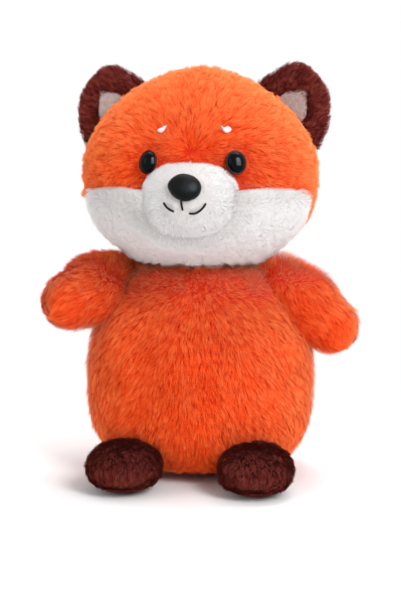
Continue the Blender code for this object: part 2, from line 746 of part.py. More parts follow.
def make_ears(looks, pivots, crown, rear, filling):
    """Each ear: a brown cover sewn into the seam, a thin pad inside it and a lining in its front."""
    foot = EAR_FOOT_ROW_SHARE
    for name, side in SIDES:
        place, half_width = ear_place(side)
        front = 0.0 if side == 1 else pi
        ear = ear_profile(half_width, LEFT_EAR_HEIGHT if side == 1 else RIGHT_EAR_HEIGHT)
        form = Form(place, ear, 2)
        parent = pivots[name]
        cover = sleeve(
            "ear_cover_" + name, form, VELVET_WALL, LIMB_TURNS, EAR_ROWS, foot, 1.0, looks["brown"], parent,
        )
        pad = body(
            "ear_filling_" + name, form, VELVET_INSIDE, LIMB_TURNS, EAR_ROWS, looks["fibre"], parent,
            low=foot,
        )
        limits = sorted((front + side * LINING_INNER_TURN, front + side * LINING_OUTER_TURN))
        lining = {
            "form": form, "turn_limits": limits, "columns": LINING_COLUMNS, "rows": LINING_ROWS,
            "low": lambda turn: LINING_LOW_ROW_SHARE, "high": lambda turn: LINING_HIGH_ROW_SHARE,
            "material": looks["lining"], "parent": parent,
        }
        lining_depth = LINING_RECESS + LINING_WALL
        panel("ear_lining_" + name, insets=(LINING_RECESS, lining_depth), **lining)
        through = {**lining, "material": None, "parent": None, "gap": -SEAM_GAP}
        window = panel("ear_window_" + name, insets=(-CUT_OVERRUN, lining_depth + REST_GAP), **through)
        cut(cover, as_cutter(window))
        cut(pad, window)
        swept = Form(place, slot_profile(ear), 2)
        slot = as_cutter(body("ear_slot_" + name, swept, 0.0, LIMB_TURNS, EAR_ROWS, None, None))
        cut(crown, slot)
        cut(rear, slot)
        cut(filling, slot)


def arm_place(side, drop, forward):
    """The middle of an arm's root on the flank, and the direction that the arm points in."""
    middle = surface(TORSO, side * SHOULDER_TURN, SHOULDER_ROW_SHARE)
    direction = Vector((side * cos(forward) * cos(drop), -sin(forward) * cos(drop), -sin(drop)))
    return middle, direction


def make_arms(looks, pivots, places, torso_stop):
    form_shape = limb_profile(ARM_ROOT_RADIUS, ARM_TIP_RADIUS, ARM_SWELL, ARM_REACH)
    facets = (LIMB_TURNS, LIMB_ROWS)
    low = HOLE_ROW_SHARE
    for name, (middle, direction) in places.items():
        form = Form(along_axis(middle, direction), form_shape, 2)
        parent = pivots[name]
        cover = sleeve("arm_cover_" + name, form, PLUSH_WALL, *facets, low, 1.0, looks["orange"], parent)
        filling = body("arm_filling_" + name, form, PLUSH_INSIDE, *facets, looks["fibre"], parent, low=low)
        cut(cover, torso_stop)
        cut(filling, torso_stop)


def foot_form(side):
    """A foot's form, and the middle of the line that it hinges on under the belly."""
    root = surface(TORSO, side * FOOT_TURN, FOOT_ROW_SHARE)
    ahead = Vector((side * sin(FOOT_TURN), -cos(FOOT_TURN), 0))
    middle = Vector((root.x, root.y, FOOT_HALF_HEIGHT - FOOT_FLAT)) + ahead * FOOT_REACH
    shape = rounded_profile(
        FOOT_HALF_WIDTH, FOOT_HALF_LENGTH, FOOT_HALF_HEIGHT, FOOT_SOLE_FULLNESS, FOOT_TOP_FULLNESS,
    )
    return Form(Matrix.Translation(middle), shape, FOOT_SQUARENESS)


def foot_hinge(side):
    """The top of the seam that holds a foot to the belly, which the foot hinges on."""
    top = foot_form(side).place.translation.z + FOOT_HALF_HEIGHT
    row = FOOT_ROW_SHARE
    while surface(TORSO, side * FOOT_TURN, row).z < top and row < 1:
        row += SMALL_STEP
    return surface(TORSO, side * FOOT_TURN, row)


def make_feet(looks, pivots, torso_stop):
    floor_half = FOOT_REACH + FOOT_HALF_LENGTH + TORSO_HALF_DEPTH
    rings = [(floor_half, floor_half, -CUT_OVERRUN), (floor_half, floor_half, 0.0)]
    floor = as_cutter(turned("floor_stop", Matrix(), rings, BODY_TURNS, None, None))
    seam_row = row_at_height(SOLE_HEIGHT / FOOT_HALF_HEIGHT - 1, FOOT_SOLE_FULLNESS, FOOT_TOP_FULLNESS)
    facets = (LIMB_TURNS, FOOT_ROWS)
    down = Vector((0, 0, SEAM_GAP))
    for name, side in SIDES:
        form = foot_form(side)
        parent = pivots[name]
        span = (seam_row, 1.0)
        upper = sleeve("foot_upper_" + name, form, PLUSH_WALL, *facets, *span, looks["brown"], parent)
        rings = [ring_of(form, seam_row * share, 0.0, LIMB_TURNS) for share in SOLE_ROW_SHARES]
        rings.append(ring_of(form, seam_row, PLUSH_WALL, LIMB_TURNS))
        for k in (-2, -1):
            rings[k] = [point - down for point in rings[k]]
        name_of_sole = "foot_sole_" + name
        sole = add_object(name_of_sole, lofted_mesh(name_of_sole, rings, False), looks["brown"], parent)
        filling = body(
            "foot_filling_" + name, form, PLUSH_INSIDE, *facets, looks["fibre"], parent, low=seam_row,
        )
        for piece in (upper, sole, filling):
            cut(piece, torso_stop)
        cut(sole, floor)


def tail_place():
    root = surface(TORSO, pi, TAIL_ROW_SHARE) - Vector((0, TAIL_INSET, 0))
    return root, Vector((0, cos(TAIL_RISE), sin(TAIL_RISE)))


def make_tail(looks, hinge, middle, direction, torso_stop):
    """The brush: an orange sleeve, a white tip and one filling through both."""
    shape = limb_profile(TAIL_ROOT_RADIUS, TAIL_END_RADIUS, TAIL_SWELL, TAIL_LENGTH)
    form = Form(along_axis(middle, direction), shape, 2)
    low = HOLE_ROW_SHARE
    seam = TAIL_TIP_ROW_SHARE
    facets = (LIMB_TURNS, TAIL_ROWS)
    cover = sleeve(
        "tail_cover", form, PLUSH_WALL, *facets, low, seam, looks["orange"], hinge, gap_high=SEAM_GAP,
    )
    facets = (LIMB_TURNS, TAIL_TIP_ROWS)
    tip = sleeve("tail_tip", form, PLUSH_WALL, *facets, seam, 1.0, looks["white"], hinge)
    filling = body("tail_filling", form, PLUSH_INSIDE, LIMB_TURNS, LIMB_ROWS, looks["fibre"], hinge, low=low)
    for piece in (cover, tip, filling):
        cut(piece, torso_stop)


def rooted(name, middle, radius, torso_stop, pieces):
    """Keeps a limb's round root whole inside the torso, and hollows the torso's pieces round it."""
    cut(torso_stop, as_cutter(ball(name + "_root", middle, radius)))
    hollow = as_cutter(ball(name + "_hollow", middle, radius + SOCKET_GAP))
    for piece in pieces:
        cut(piece, hollow)


def make_fox():
    clear_scene()
    looks = make_materials()
    neck = pivot("head_turn", NECK_MIDDLE)
    head = pivot("head_nod", NECK_MIDDLE, neck)
    panels, filling = make_torso(looks)
    make_pellet_bag(looks, filling)
    neck_hollow = make_neck(looks, neck)
    face, crown, gussets, rear, head_filling = make_head(looks, head)
    for piece in (*panels, filling, face, *gussets, rear, head_filling):
        cut(piece, neck_hollow)
    muzzle, place = make_muzzle(looks, head)
    make_nose(looks, head, muzzle, place)
    make_eyes(looks, head, crown, head_filling)
    make_brows(looks, head)
    ears = {name: pivot("ear_" + name, ear_place(side)[0].translation, head) for name, side in SIDES}
    make_ears(looks, ears, crown, rear, head_filling)

    torso_stop = as_cutter(body("torso_outline", TORSO, -REST_GAP, OUTLINE_TURNS, OUTLINE_ROWS, None, None))
    arms = {
        "left": arm_place(1, LEFT_ARM_DROP, LEFT_ARM_FORWARD),
        "right": arm_place(-1, RIGHT_ARM_DROP, RIGHT_ARM_FORWARD),
    }
    shoulders = {}
    for name, (middle, _) in arms.items():
        rooted("arm_" + name, middle, ARM_ROOT_RADIUS, torso_stop, (*panels, filling))
        shoulders[name] = pivot("arm_" + name, middle)
    make_arms(looks, shoulders, arms, torso_stop)
    make_feet(looks, {name: pivot("foot_" + name, foot_hinge(side)) for name, side in SIDES}, torso_stop)
    middle, direction = tail_place()
    rooted("tail", middle, TAIL_ROOT_RADIUS, torso_stop, (*panels[1:], filling))
    make_tail(looks, pivot("tail_droop", middle), middle, direction, torso_stop)


make_fox()
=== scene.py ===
# %% [markdown]
# # A plush fox
# A plush toy is a pattern of cut fabric, sewn inside out, turned and stuffed. What the eye sees is the pile:
# thousands of short fibres that lie in one direction, gather in tufts and hide the seams. This lesson builds the
# fox the same way. Each stuffed body is a form, each sewn panel is a thin sheet that lies on its form, and
# Geometry Nodes plant the pile on the sheets.

# %% Load the frame
import json
from math import asin, ceil, cos, pi, radians, sin, sqrt
from typing import NamedTuple

import bmesh
import bpy
import numpy as np
from mathutils import Matrix, Vector


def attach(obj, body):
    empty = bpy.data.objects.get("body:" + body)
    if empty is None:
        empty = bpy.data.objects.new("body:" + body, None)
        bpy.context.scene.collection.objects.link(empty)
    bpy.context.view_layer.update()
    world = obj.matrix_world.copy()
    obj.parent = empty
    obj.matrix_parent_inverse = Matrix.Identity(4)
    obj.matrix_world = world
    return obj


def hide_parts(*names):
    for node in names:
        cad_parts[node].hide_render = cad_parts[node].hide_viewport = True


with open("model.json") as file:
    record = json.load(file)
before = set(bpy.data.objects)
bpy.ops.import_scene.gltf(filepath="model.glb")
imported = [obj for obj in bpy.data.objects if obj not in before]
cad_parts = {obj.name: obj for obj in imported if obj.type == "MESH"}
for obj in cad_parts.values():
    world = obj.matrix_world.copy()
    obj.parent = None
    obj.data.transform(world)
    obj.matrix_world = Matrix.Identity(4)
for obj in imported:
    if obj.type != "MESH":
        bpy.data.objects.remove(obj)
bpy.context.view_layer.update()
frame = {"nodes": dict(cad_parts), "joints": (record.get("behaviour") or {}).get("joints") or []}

MM = 0.001
joints = {joint["name"]: joint for joint in frame["joints"]}
SIDES = (("left", 1), ("right", -1))  # of the fox, whose left is +X

# %% [markdown]
# ## Forms
# A stuffed body swells and tapers, and no box or ball has its shape. A form is a stack of rings: a row says how
# far up the stack a ring lies, a turn says how far round it a point lies, and an inset pushes the point inward.
# The same form then serves for the fabric, for the stuffing inside it and for whatever is sewn onto it.


# %% The form and its surface
class Form(NamedTuple):
    place: Matrix
    profile: object  # (row, inset) gives half width, half depth, height, and shift across and back
    squareness: float


def power(value, exponent):
    """A signed power, which keeps the side that each value is on."""
    return np.sign(value) * np.abs(value) ** exponent


def surface(form, turn, row, inset=0.0):
    """Points on a form, or that far under its surface, for arrays of turns and rows."""
    turn, row = np.broadcast_arrays(np.asarray(turn, float), np.asarray(row, float))
    width, depth, along, across, back = form.profile(row, inset)
    bend = 2 / form.squareness
    x = across + width * power(np.sin(turn), bend)
    y = back - depth * power(np.cos(turn), bend)
    local = np.stack([x, y, along + 0 * x, np.ones_like(x)], -1)
    return (local @ np.array(form.place).T)[..., :3]


def point_on(form, turn, row, inset=0.0):
    return Vector(surface(form, turn, row, inset).tolist())


def outward(form, turn, row, step=0.002):
    """The direction straight out of a form at one point."""
    sideways = point_on(form, turn + step, row) - point_on(form, turn - step, row)
    upwards = point_on(form, turn, row + step) - point_on(form, turn, row - step)
    return sideways.cross(upwards).normalized()


# %% Smooth curves through given points
def through(a, b, c, d, t):
    """The point a share t of the way from b to c, on a smooth curve through four points."""
    return b + ((c - a) * t + (2 * a - 5 * b + 4 * c - d) * t**2 + (3 * b - a - 3 * c + d) * t**3) / 2


def curve_at(points, share):
    """A smooth curve through given points, at shares of the way along them."""
    points = np.array(points, float)
    spans = len(points) - 1
    place = np.clip(share, 0, 1) * spans
    first = np.minimum(place.astype(int), spans - 1)
    neighbours = (points[np.clip(first + step, 0, spans)] for step in (-1, 0, 1, 2))
    return np.moveaxis(through(*neighbours, (place - first)[..., None]), -1, 0)


def closed_curve(points, count):
    """A smooth closed curve through given points."""
    points = np.array(points, float)
    place = np.arange(count) * len(points) / count
    first = place.astype(int)
    neighbours = (points[(first + step) % len(points)] for step in (-1, 0, 1, 2))
    return through(*neighbours, (place - first)[:, None])


# %% Profiles of rounded bodies and limbs
def open_rows(row, value):
    """The value between a stack's ends, and zero at both ends, so that the poles close."""
    return np.where((row > 0) & (row < 1), np.maximum(value, 0), 0)


def rounded_profile(half_width, half_depth, half_height, low_fullness, high_fullness):
    """A rounded body. A fullness of two is an oval, and more fills out its low or high half."""

    def profile(row, inset):
        angle = (row - 0.5) * pi
        exponent = 2 / np.where(angle >= 0, high_fullness, low_fullness)
        width = open_rows(row, np.abs(np.cos(angle)) ** exponent)
        along = (half_height - inset) * power(np.sin(angle), exponent)
        return (half_width - inset) * width, (half_depth - inset) * width, along, 0, 0

    return profile


def limb_profile(root_radius, end_radius, swell, reach, root_share=0.26, end_share=0.76):
    """A limb with a ball at its root, a swelling middle and a round end, reach away from the root."""

    def profile(row, inset):
        share = np.clip((row - root_share) / (end_share - root_share), 0, 1)
        middle = root_radius + (end_radius - root_radius) * share + swell * np.sin(pi * share) ** 1.5 - inset
        root_angle = np.clip(1 - row / root_share, 0, 1) * pi / 2
        end_angle = np.clip((row - end_share) / (1 - end_share), 0, 1) * pi / 2
        low = row < root_share
        high = row > end_share
        radius = np.where(low, (root_radius - inset) * np.cos(root_angle), middle)
        radius = np.where(high, (end_radius - inset) * np.cos(end_angle), radius)
        along = np.where(low, -(root_radius - inset) * np.sin(root_angle), reach * share)
        along = np.where(high, reach + (end_radius - inset) * np.sin(end_angle), along)
        radius = open_rows(row, radius)
        return radius, radius, along, 0, 0

    return profile


def row_at_height(share, low_fullness, high_fullness):
    """The row of a rounded body at a height, as a share of its half height from its middle."""
    exponent = (high_fullness if share >= 0 else low_fullness) / 2
    sign = 1 if share >= 0 else -1
    return 0.5 + asin(sign * abs(share) ** exponent) / pi


# %% [markdown]
# ## The fox's bodies
# The sizes are those of the imported solids, so that every fabric piece lies where its solid is. The neck, the
# shoulders and the tail are placed from the joints of the frame, and the ears from the head's surface.

# %% Torso and head
TORSO_HEIGHT = 107.8 * MM
TORSO_HALF_WIDTH = 60.6 * MM
TORSO_HALF_DEPTH = 54.5 * MM
TORSO_OUTLINE_SHARES = (  # of the half width, of the height, and how far back of the half depth
    (0.46, 0.0, 0.17),
    (0.64, 0.020, 0.145),
    (0.79, 0.070, 0.10),
    (0.885, 0.135, 0.065),
    (0.955, 0.215, 0.035),
    (0.99, 0.31, 0.015),
    (1.0, 0.43, 0.0),
    (0.99, 0.59, 0.0),
    (0.935, 0.72, 0.0),
    (0.825, 0.84, 0.0),
    (0.69, 0.93, 0.0),
    (0.52, 0.985, 0.0),
    (0.28, 0.998, 0.0),
    (0.0, 1.0, 0.0),
)
HEAD_LOW = 109.5 * MM
HEAD_HALF_WIDTH = 61.8 * MM
HEAD_HALF_DEPTH = 51.5 * MM
HEAD_HALF_HEIGHT = 52.0 * MM
HEAD_SQUARENESS = 2.15
JOWL_FULLNESS = 2.75
CROWN_FULLNESS = 1.72


def torso_profile(row, inset):
    """The torso's outline as it is drawn above, pushed in by the inset."""
    width, height, back = curve_at(TORSO_OUTLINE_SHARES, row)
    width = np.maximum(width, 0)
    along = inset + (TORSO_HEIGHT - 2 * inset) * height
    half_depth = TORSO_HALF_DEPTH - inset
    return (TORSO_HALF_WIDTH - inset) * width, half_depth * width, along, 0, half_depth * back


TORSO = Form(Matrix(), torso_profile, 2.1)
HEAD_MIDDLE = Vector((0, 0, HEAD_LOW + HEAD_HALF_HEIGHT))
HEAD = Form(
    Matrix.Translation(HEAD_MIDDLE),
    rounded_profile(HEAD_HALF_WIDTH, HEAD_HALF_DEPTH, HEAD_HALF_HEIGHT, JOWL_FULLNESS, CROWN_FULLNESS),
    HEAD_SQUARENESS,
)


def head_row(height):
    """The row of the head at a height above its low end."""
    return row_at_height(height / HEAD_HALF_HEIGHT - 1, JOWL_FULLNESS, CROWN_FULLNESS)


print("head spans", HEAD_LOW, "to", HEAD_LOW + 2 * HEAD_HALF_HEIGHT)


# %% Muzzle
def facing(point, direction):
    """A place with its third axis along a direction and its second as near upright as it can be."""
    ahead = direction.normalized()
    across = Vector((0, 0, 1)).cross(ahead).normalized()
    turn = Matrix((across, ahead.cross(across), ahead)).transposed()
    return Matrix.Translation(point) @ turn.to_4x4()


def along_axis(point, direction):
    """A place whose stack axis runs along a direction, with the front of its rings low."""
    up = direction.normalized()
    across = up.cross(Vector((0, 0, 1))).normalized()
    turn = Matrix((across, up.cross(across), up)).transposed()
    return Matrix.Translation(point) @ turn.to_4x4()


MUZZLE_HALF_WIDTH = 24.6 * MM
MUZZLE_HALF_HEIGHT = 19.0 * MM
MUZZLE_HALF_DEPTH = 25.0 * MM
MUZZLE_FULLNESS = 2.2
MUZZLE_HEIGHT = 37.5 * MM  # of its middle above the head's low end
MUZZLE_SUNK = 8.0 * MM
MUZZLE_MIDDLE = point_on(HEAD, 0.0, head_row(MUZZLE_HEIGHT)) + Vector((0, MUZZLE_SUNK, 0))
MUZZLE = Form(
    facing(MUZZLE_MIDDLE, Vector((0, -1, 0))),
    rounded_profile(MUZZLE_HALF_WIDTH, MUZZLE_HALF_HEIGHT, MUZZLE_HALF_DEPTH, 2, MUZZLE_FULLNESS),
    MUZZLE_FULLNESS,
)
print("snout's middle at", [round(v, 4) for v in MUZZLE_MIDDLE])

# %% The ears' forms
EAR_HEIGHTS = {1: 27.2 * MM, -1: 25.0 * MM}  # the fox's right ear flops a little lower
EAR_ROOT_HEIGHTS = (95.5 * MM, 59.0 * MM)  # of its inner and outer end above the head's low end
EAR_HALF_THICKNESS = 6.2 * MM
EAR_SEAM_TURN = radians(98)
EAR_MIDDLE = 0.4  # of its height
EAR_OUTLINE_SHARES = (  # half width, half thickness, lean toward the inner end, height
    (0.0, 0.0, 0.0, -0.21),
    (0.62, 0.62, 0.0, -0.18),
    (0.92, 0.93, 0.0, -0.08),
    (1.0, 1.0, 0.0, 0.02),
    (0.94, 1.0, 0.02, 0.22),
    (0.85, 0.97, 0.07, 0.48),
    (0.71, 0.92, 0.14, 0.70),
    (0.55, 0.82, 0.19, 0.86),
    (0.35, 0.62, 0.23, 0.96),
    (0.0, 0.0, 0.26, 1.0),
)


def ear_profile(half_width, total):
    """The ear's outline as it is drawn above, drawn in toward a point a little below its middle."""

    def profile(row, inset):
        width, thickness, lean, height = curve_at(EAR_OUTLINE_SHARES, row)
        middle = total * EAR_MIDDLE
        along = middle + (total * height - middle) * (1 - inset / (total - middle))
        half_thickness = (EAR_HALF_THICKNESS - inset) * open_rows(row, thickness)
        return (half_width - inset) * open_rows(row, width), half_thickness, along, -half_width * lean, 0

    return profile


def ear_form(side):
    inner, outer = (point_on(HEAD, side * EAR_SEAM_TURN, head_row(height)) for height in EAR_ROOT_HEIGHTS)
    across = (outer - inner).normalized()
    flat = Vector((sin(side * EAR_SEAM_TURN), -cos(side * EAR_SEAM_TURN), 0))
    up = (flat - across * flat.dot(across)).normalized()
    turn = Matrix((across, up.cross(across), up)).transposed()
    place = Matrix.Translation((inner + outer) / 2) @ turn.to_4x4()
    return Form(place, ear_profile((outer - inner).length / 2, EAR_HEIGHTS[side]), 2)


# %% The arms', feet's and tail's forms
ARM_SHAPE = limb_profile(14.0 * MM, 16.2 * MM, 4.8 * MM, 33.2 * MM)
ARM_ANGLES = {"left": (1, radians(38), radians(4)), "right": (-1, radians(12), radians(47))}  # drop, forward


def arm_form(name):
    side, drop, forward = ARM_ANGLES[name]
    shoulder = Vector(joints[name + "_arm_lift"]["pos_m"])
    direction = Vector((side * cos(forward) * cos(drop), -sin(forward) * cos(drop), -sin(drop)))
    return Form(along_axis(shoulder, direction), ARM_SHAPE, 2)


FOOT_HALF_WIDTH = 19.6 * MM
FOOT_HALF_LENGTH = 20.5 * MM
FOOT_HALF_HEIGHT = 13.3 * MM
FOOT_FULLNESS = (2.3, 2.15)  # of its low and high half
FOOT_FLAT = 0.5 * MM
FOOT_TURN = radians(28)
FOOT_ROOT_ROW = 0.18  # of the torso
FOOT_AHEAD = 19.0 * MM  # of its middle from its root
SOLE_HEIGHT = 4.2 * MM


def foot_form(side):
    root = point_on(TORSO, side * FOOT_TURN, FOOT_ROOT_ROW)
    ahead = Vector((side * sin(FOOT_TURN), -cos(FOOT_TURN), 0))
    middle = Vector((root.x, root.y, FOOT_HALF_HEIGHT - FOOT_FLAT)) + ahead * FOOT_AHEAD
    shape = rounded_profile(FOOT_HALF_WIDTH, FOOT_HALF_LENGTH, FOOT_HALF_HEIGHT, *FOOT_FULLNESS)
    return Form(Matrix.Translation(middle), shape, 2.25)


TAIL_RISE = radians(48)
TAIL = Form(
    along_axis(Vector(joints["tail_droop"]["pos_m"]), Vector((0, cos(TAIL_RISE), sin(TAIL_RISE)))),
    limb_profile(8.5 * MM, 6.0 * MM, 10.0 * MM, 46.0 * MM),
    2,
)
EARS = {name: ear_form(side) for name, side in SIDES}
ARMS = {name: arm_form(name) for name, _ in SIDES}
FEET = {name: foot_form(side) for name, side in SIDES}
print("forms of ears, arms, feet and tail:", len(EARS) + len(ARMS) + len(FEET) + 1)

# %% [markdown]
# ## Writing node trees
# Materials and Geometry Nodes are both trees of small steps. A helper adds a node, sets its inputs by name and
# gives it back. A socket that gives a value is wrapped, so that sums, products and powers of values add the steps
# for them, and the trees below read like formulas.


# %% Helpers for node trees
class Value:
    """A value in a node tree, with which formulas can be written."""

    def __init__(self, source):
        self.source = source
        self.tree = source.id_data

    def __add__(self, other):
        return math(self.tree, "ADD", self, other)

    def __sub__(self, other):
        return math(self.tree, "SUBTRACT", self, other)

    def __rsub__(self, other):
        return math(self.tree, "SUBTRACT", other, self)

    def __mul__(self, other):
        return math(self.tree, "MULTIPLY", self, other)

    def __truediv__(self, other):
        return math(self.tree, "DIVIDE", self, other)

    def __rtruediv__(self, other):
        return math(self.tree, "DIVIDE", other, self)

    def __pow__(self, other):
        return math(self.tree, "POWER", self, other)

    __radd__ = __add__
    __rmul__ = __mul__


def socket(sockets, key):
    """The socket at a number, or the one in use with a name."""
    if isinstance(key, int):
        return sockets[key]
    return next(s for s in sockets if s.name == key and s.enabled)


def put(tree, target, value):
    """Links a value to a socket, or sets the socket to a constant."""
    if isinstance(value, Value):
        tree.links.new(value.source, target)
    else:
        target.default_value = value


def set_inputs(tree, node, values):
    """Gives inputs, by number or name, a constant or another step's value."""
    for key, value in values.items():
        put(tree, socket(node.inputs, key), value)


def add(tree, kind, inputs=None, **settings):
    """A new node with its settings and inputs set."""
    node = tree.nodes.new(kind)
    for name, value in settings.items():
        setattr(node, name, value)
    set_inputs(tree, node, inputs or {})
    return node


def out(node, key=0):
    return Value(socket(node.outputs, key))


def math(tree, operation, *values):
    return out(add(tree, "ShaderNodeMath", dict(enumerate(values)), operation=operation))


def vector_math(tree, operation, *values):
    node = add(tree, "ShaderNodeVectorMath", dict(enumerate(values)), operation=operation)
    return out(node, 1 if operation in ("DOT_PRODUCT", "LENGTH") else 0)


def scaled(tree, vector, factor):
    return out(add(tree, "ShaderNodeVectorMath", {0: vector, "Scale": factor}, operation="SCALE"))


def split(tree, vector):
    """A node whose outputs are the three numbers of a vector."""
    return add(tree, "ShaderNodeSeparateXYZ", {0: vector})


def joined(tree, x, y, z):
    return out(add(tree, "ShaderNodeCombineXYZ", {0: x, 1: y, 2: z}))


# %% Helpers for geometry trees
def new_tree(name, inputs):
    """A tree from a geometry and named inputs to a geometry, and its inputs as values."""
    tree = bpy.data.node_groups.new(name, "GeometryNodeTree")
    tree.interface.new_socket("Geometry", in_out="INPUT", socket_type="NodeSocketGeometry")
    for key, kind in inputs:
        tree.interface.new_socket(key, in_out="INPUT", socket_type="NodeSocket" + kind)
    tree.interface.new_socket("Geometry", in_out="OUTPUT", socket_type="NodeSocketGeometry")
    return tree, {s.name: Value(s) for s in tree.nodes.new("NodeGroupInput").outputs}


def random_between(tree, low, high, seed):
    return out(add(
        tree, "FunctionNodeRandomValue", {"Min": low, "Max": high, "Seed": seed}, data_type="FLOAT",
    ))


def stored(tree, geometry, name, value, kind="FLOAT"):
    return out(add(
        tree, "GeometryNodeStoreNamedAttribute", {"Geometry": geometry, "Name": name, "Value": value},
        data_type=kind, domain="POINT",
    ))


def named(tree, name, kind="FLOAT"):
    return out(add(tree, "GeometryNodeInputNamedAttribute", {"Name": name}, data_type=kind))


def laid_along(tree, direction, upright, axes, twist):
    """The turn that lays a piece's axes along a direction and upright, and then twists it about its own Y."""
    lying = out(add(
        tree, "FunctionNodeAxesToRotation", {"Primary Axis": direction, "Secondary Axis": upright},
        primary_axis=axes[0], secondary_axis=axes[1],
    ))
    twisted = out(add(tree, "FunctionNodeAxisAngleToRotation", {"Axis": (0, 1, 0), "Angle": twist}))
    return out(add(tree, "FunctionNodeRotateRotation", {0: lying, 1: twisted}, rotation_space="LOCAL"))


def copies(tree, points, piece, turn, scale):
    """Copies of a piece on points, made real."""
    planted = add(
        tree, "GeometryNodeInstanceOnPoints",
        {"Points": points, "Instance": piece, "Rotation": turn, "Scale": scale},
    )
    return out(add(tree, "GeometryNodeRealizeInstances", {"Geometry": out(planted)}))


def finished(tree, geometry, material):
    """The tree, with its result given a material and led to its output."""
    painted = add(tree, "GeometryNodeSetMaterial", {"Geometry": geometry, "Material": material})
    put(tree, tree.nodes.new("NodeGroupOutput").inputs[0], out(painted))
    return tree


def run_tree(obj, tree, values):
    """Puts a tree on an object with its inputs set, and leaves the result as the object's plain mesh."""
    step = obj.modifiers.new(tree.name, "NODES")
    step.node_group = tree
    for item in tree.interface.items_tree:
        if item.name in values:
            step[item.identifier] = values[item.name]
    graph = bpy.context.evaluated_depsgraph_get()
    mesh = bpy.data.meshes.new_from_object(obj.evaluated_get(graph))
    obj.modifiers.clear()
    obj.data = mesh
    mesh.name = obj.name
    return mesh


# %% [markdown]
# ## The pile
# Long plush is cut fibre. Up close each fibre is a thin ribbon, broad at its root and pointed at its tip, which
# leans along the nap. Planting them one by one could be done with hair curves, but a mesh keeps its shape in any
# program, so each blade here is three triangles. The tree scatters points over a sheet, turns a blade along the
# nap at each, lets a noise swirl the nap, and pulls neighbours together into tufts with a Voronoi pattern.

# %% One blade of pile, made inside the tree
BLADE_TAPER = 2.3  # the power by which a blade narrows toward its tip
BLADE_BOW = 0.55
MERGE_SHARE = 0.01  # of a blade's length, within which the corners of its tip are merged


def blade_of_pile(tree):
    """A ribbon one long and one wide that lies along Y, narrows to a point and bows upward."""
    blade = out(add(
        tree, "GeometryNodeMeshGrid", {"Size X": 1.0, "Size Y": 1.0, "Vertices X": 2, "Vertices Y": 3},
    ))
    place = split(tree, out(add(tree, "GeometryNodeInputPosition")))
    across, along = out(place, 0), out(place, 1) + 0.5
    blade = stored(tree, blade, "across", across + 0.5)
    blade = stored(tree, blade, "along", along)
    shaped = joined(tree, across * (1.0 - along**BLADE_TAPER), along, along * (1.0 - along) * BLADE_BOW)
    bent = out(add(tree, "GeometryNodeSetPosition", {"Geometry": blade, "Position": shaped}))
    return out(add(tree, "GeometryNodeMergeByDistance", {"Geometry": bent, "Distance": MERGE_SHARE}))


# %% Where each blade points, and how light meets it
NOISE_GAIN = 4.0  # because the swirl's noise seldom strays far from a half


def nap_at_points(tree, inputs, normal, position):
    """The direction that each blade points in: the nap, swirled, scattered and drawn into tufts."""
    clouds = add(
        tree, "ShaderNodeTexNoise", {"Vector": position, "Scale": 1.0 / inputs["Swirl size"], "Detail": 2.0},
    )
    swirl = vector_math(tree, "SUBTRACT", out(clouds, "Color"), (0.5, 0.5, 0.5))
    scatter = out(add(
        tree, "FunctionNodeRandomValue", {"Min": (-1, -1, -1), "Max": (1, 1, 1), "Seed": inputs["Seed"] + 1.0},
        data_type="FLOAT_VECTOR",
    ))
    tufts = add(tree, "ShaderNodeTexVoronoi", {"Vector": position, "Scale": 1.0 / inputs["Tuft size"]})
    inward = vector_math(tree, "SUBTRACT", out(tufts, "Position"), position)
    total = named(tree, "nap", "FLOAT_VECTOR")
    for pull, strength in (
        (swirl, inputs["Swirl"] * NOISE_GAIN),
        (scatter, inputs["Scatter"]),
        (inward, inputs["Tuft pull"] / inputs["Pile length"]),
    ):
        total = vector_math(tree, "ADD", total, scaled(tree, pull, strength))
    upward = scaled(tree, normal, vector_math(tree, "DOT_PRODUCT", total, normal))
    flat = vector_math(tree, "NORMALIZE", vector_math(tree, "SUBTRACT", total, upward))
    return flat, split(tree, out(tufts, "Color"))


def softly_shaded(tree, geometry, softness):
    """Shades each blade mostly as the fur round it lies, as light does that passes through fine fibre."""
    own = scaled(tree, out(add(tree, "GeometryNodeInputNormal")), 1.0 - softness)
    shared = scaled(tree, named(tree, "facing", "FLOAT_VECTOR"), softness)
    normal = vector_math(tree, "NORMALIZE", vector_math(tree, "ADD", own, shared))
    return out(add(
        tree, "GeometryNodeSetMeshNormal", {"Mesh": geometry, "Custom Normal": normal}, mode="FREE", domain="POINT",
    ))


# %% The tree that plants the pile
PILE_SETTINGS = (
    "Blades per square metre", "Pile length", "Blade width", "Lowest rise", "Highest rise", "Roll", "Scatter",
    "Swirl size", "Swirl", "Tuft size", "Tuft pull", "Unevenness", "Stray share", "Softness", "Painted light",
)
STEEPEST_RISE = 1.45  # radians
TUFT_RISE = 0.4  # of how steeply a blade stands that its tuft decides
TUFT_SHADE = 0.22  # of a strand's shade that its tuft decides
LENGTHS = (0.6, 1.12)  # between which each blade's share of the pile's length is drawn
WIDTHS = (0.75, 1.2)
STRAY_RISE = 0.3  # radians, the least that a stray stands above the rest
# Strays are longer, thinner and paler; the paleness is painted light, for the glow where strays stand out at the
# outline
STRAY_LONGER, STRAY_THINNER, STRAY_PAINTED_GLOW = 0.12, 0.3, 0.25
SIDE_PAINTED_LIGHT = 0.8  # of painted light on strands that face sideways, beside one for those that face up
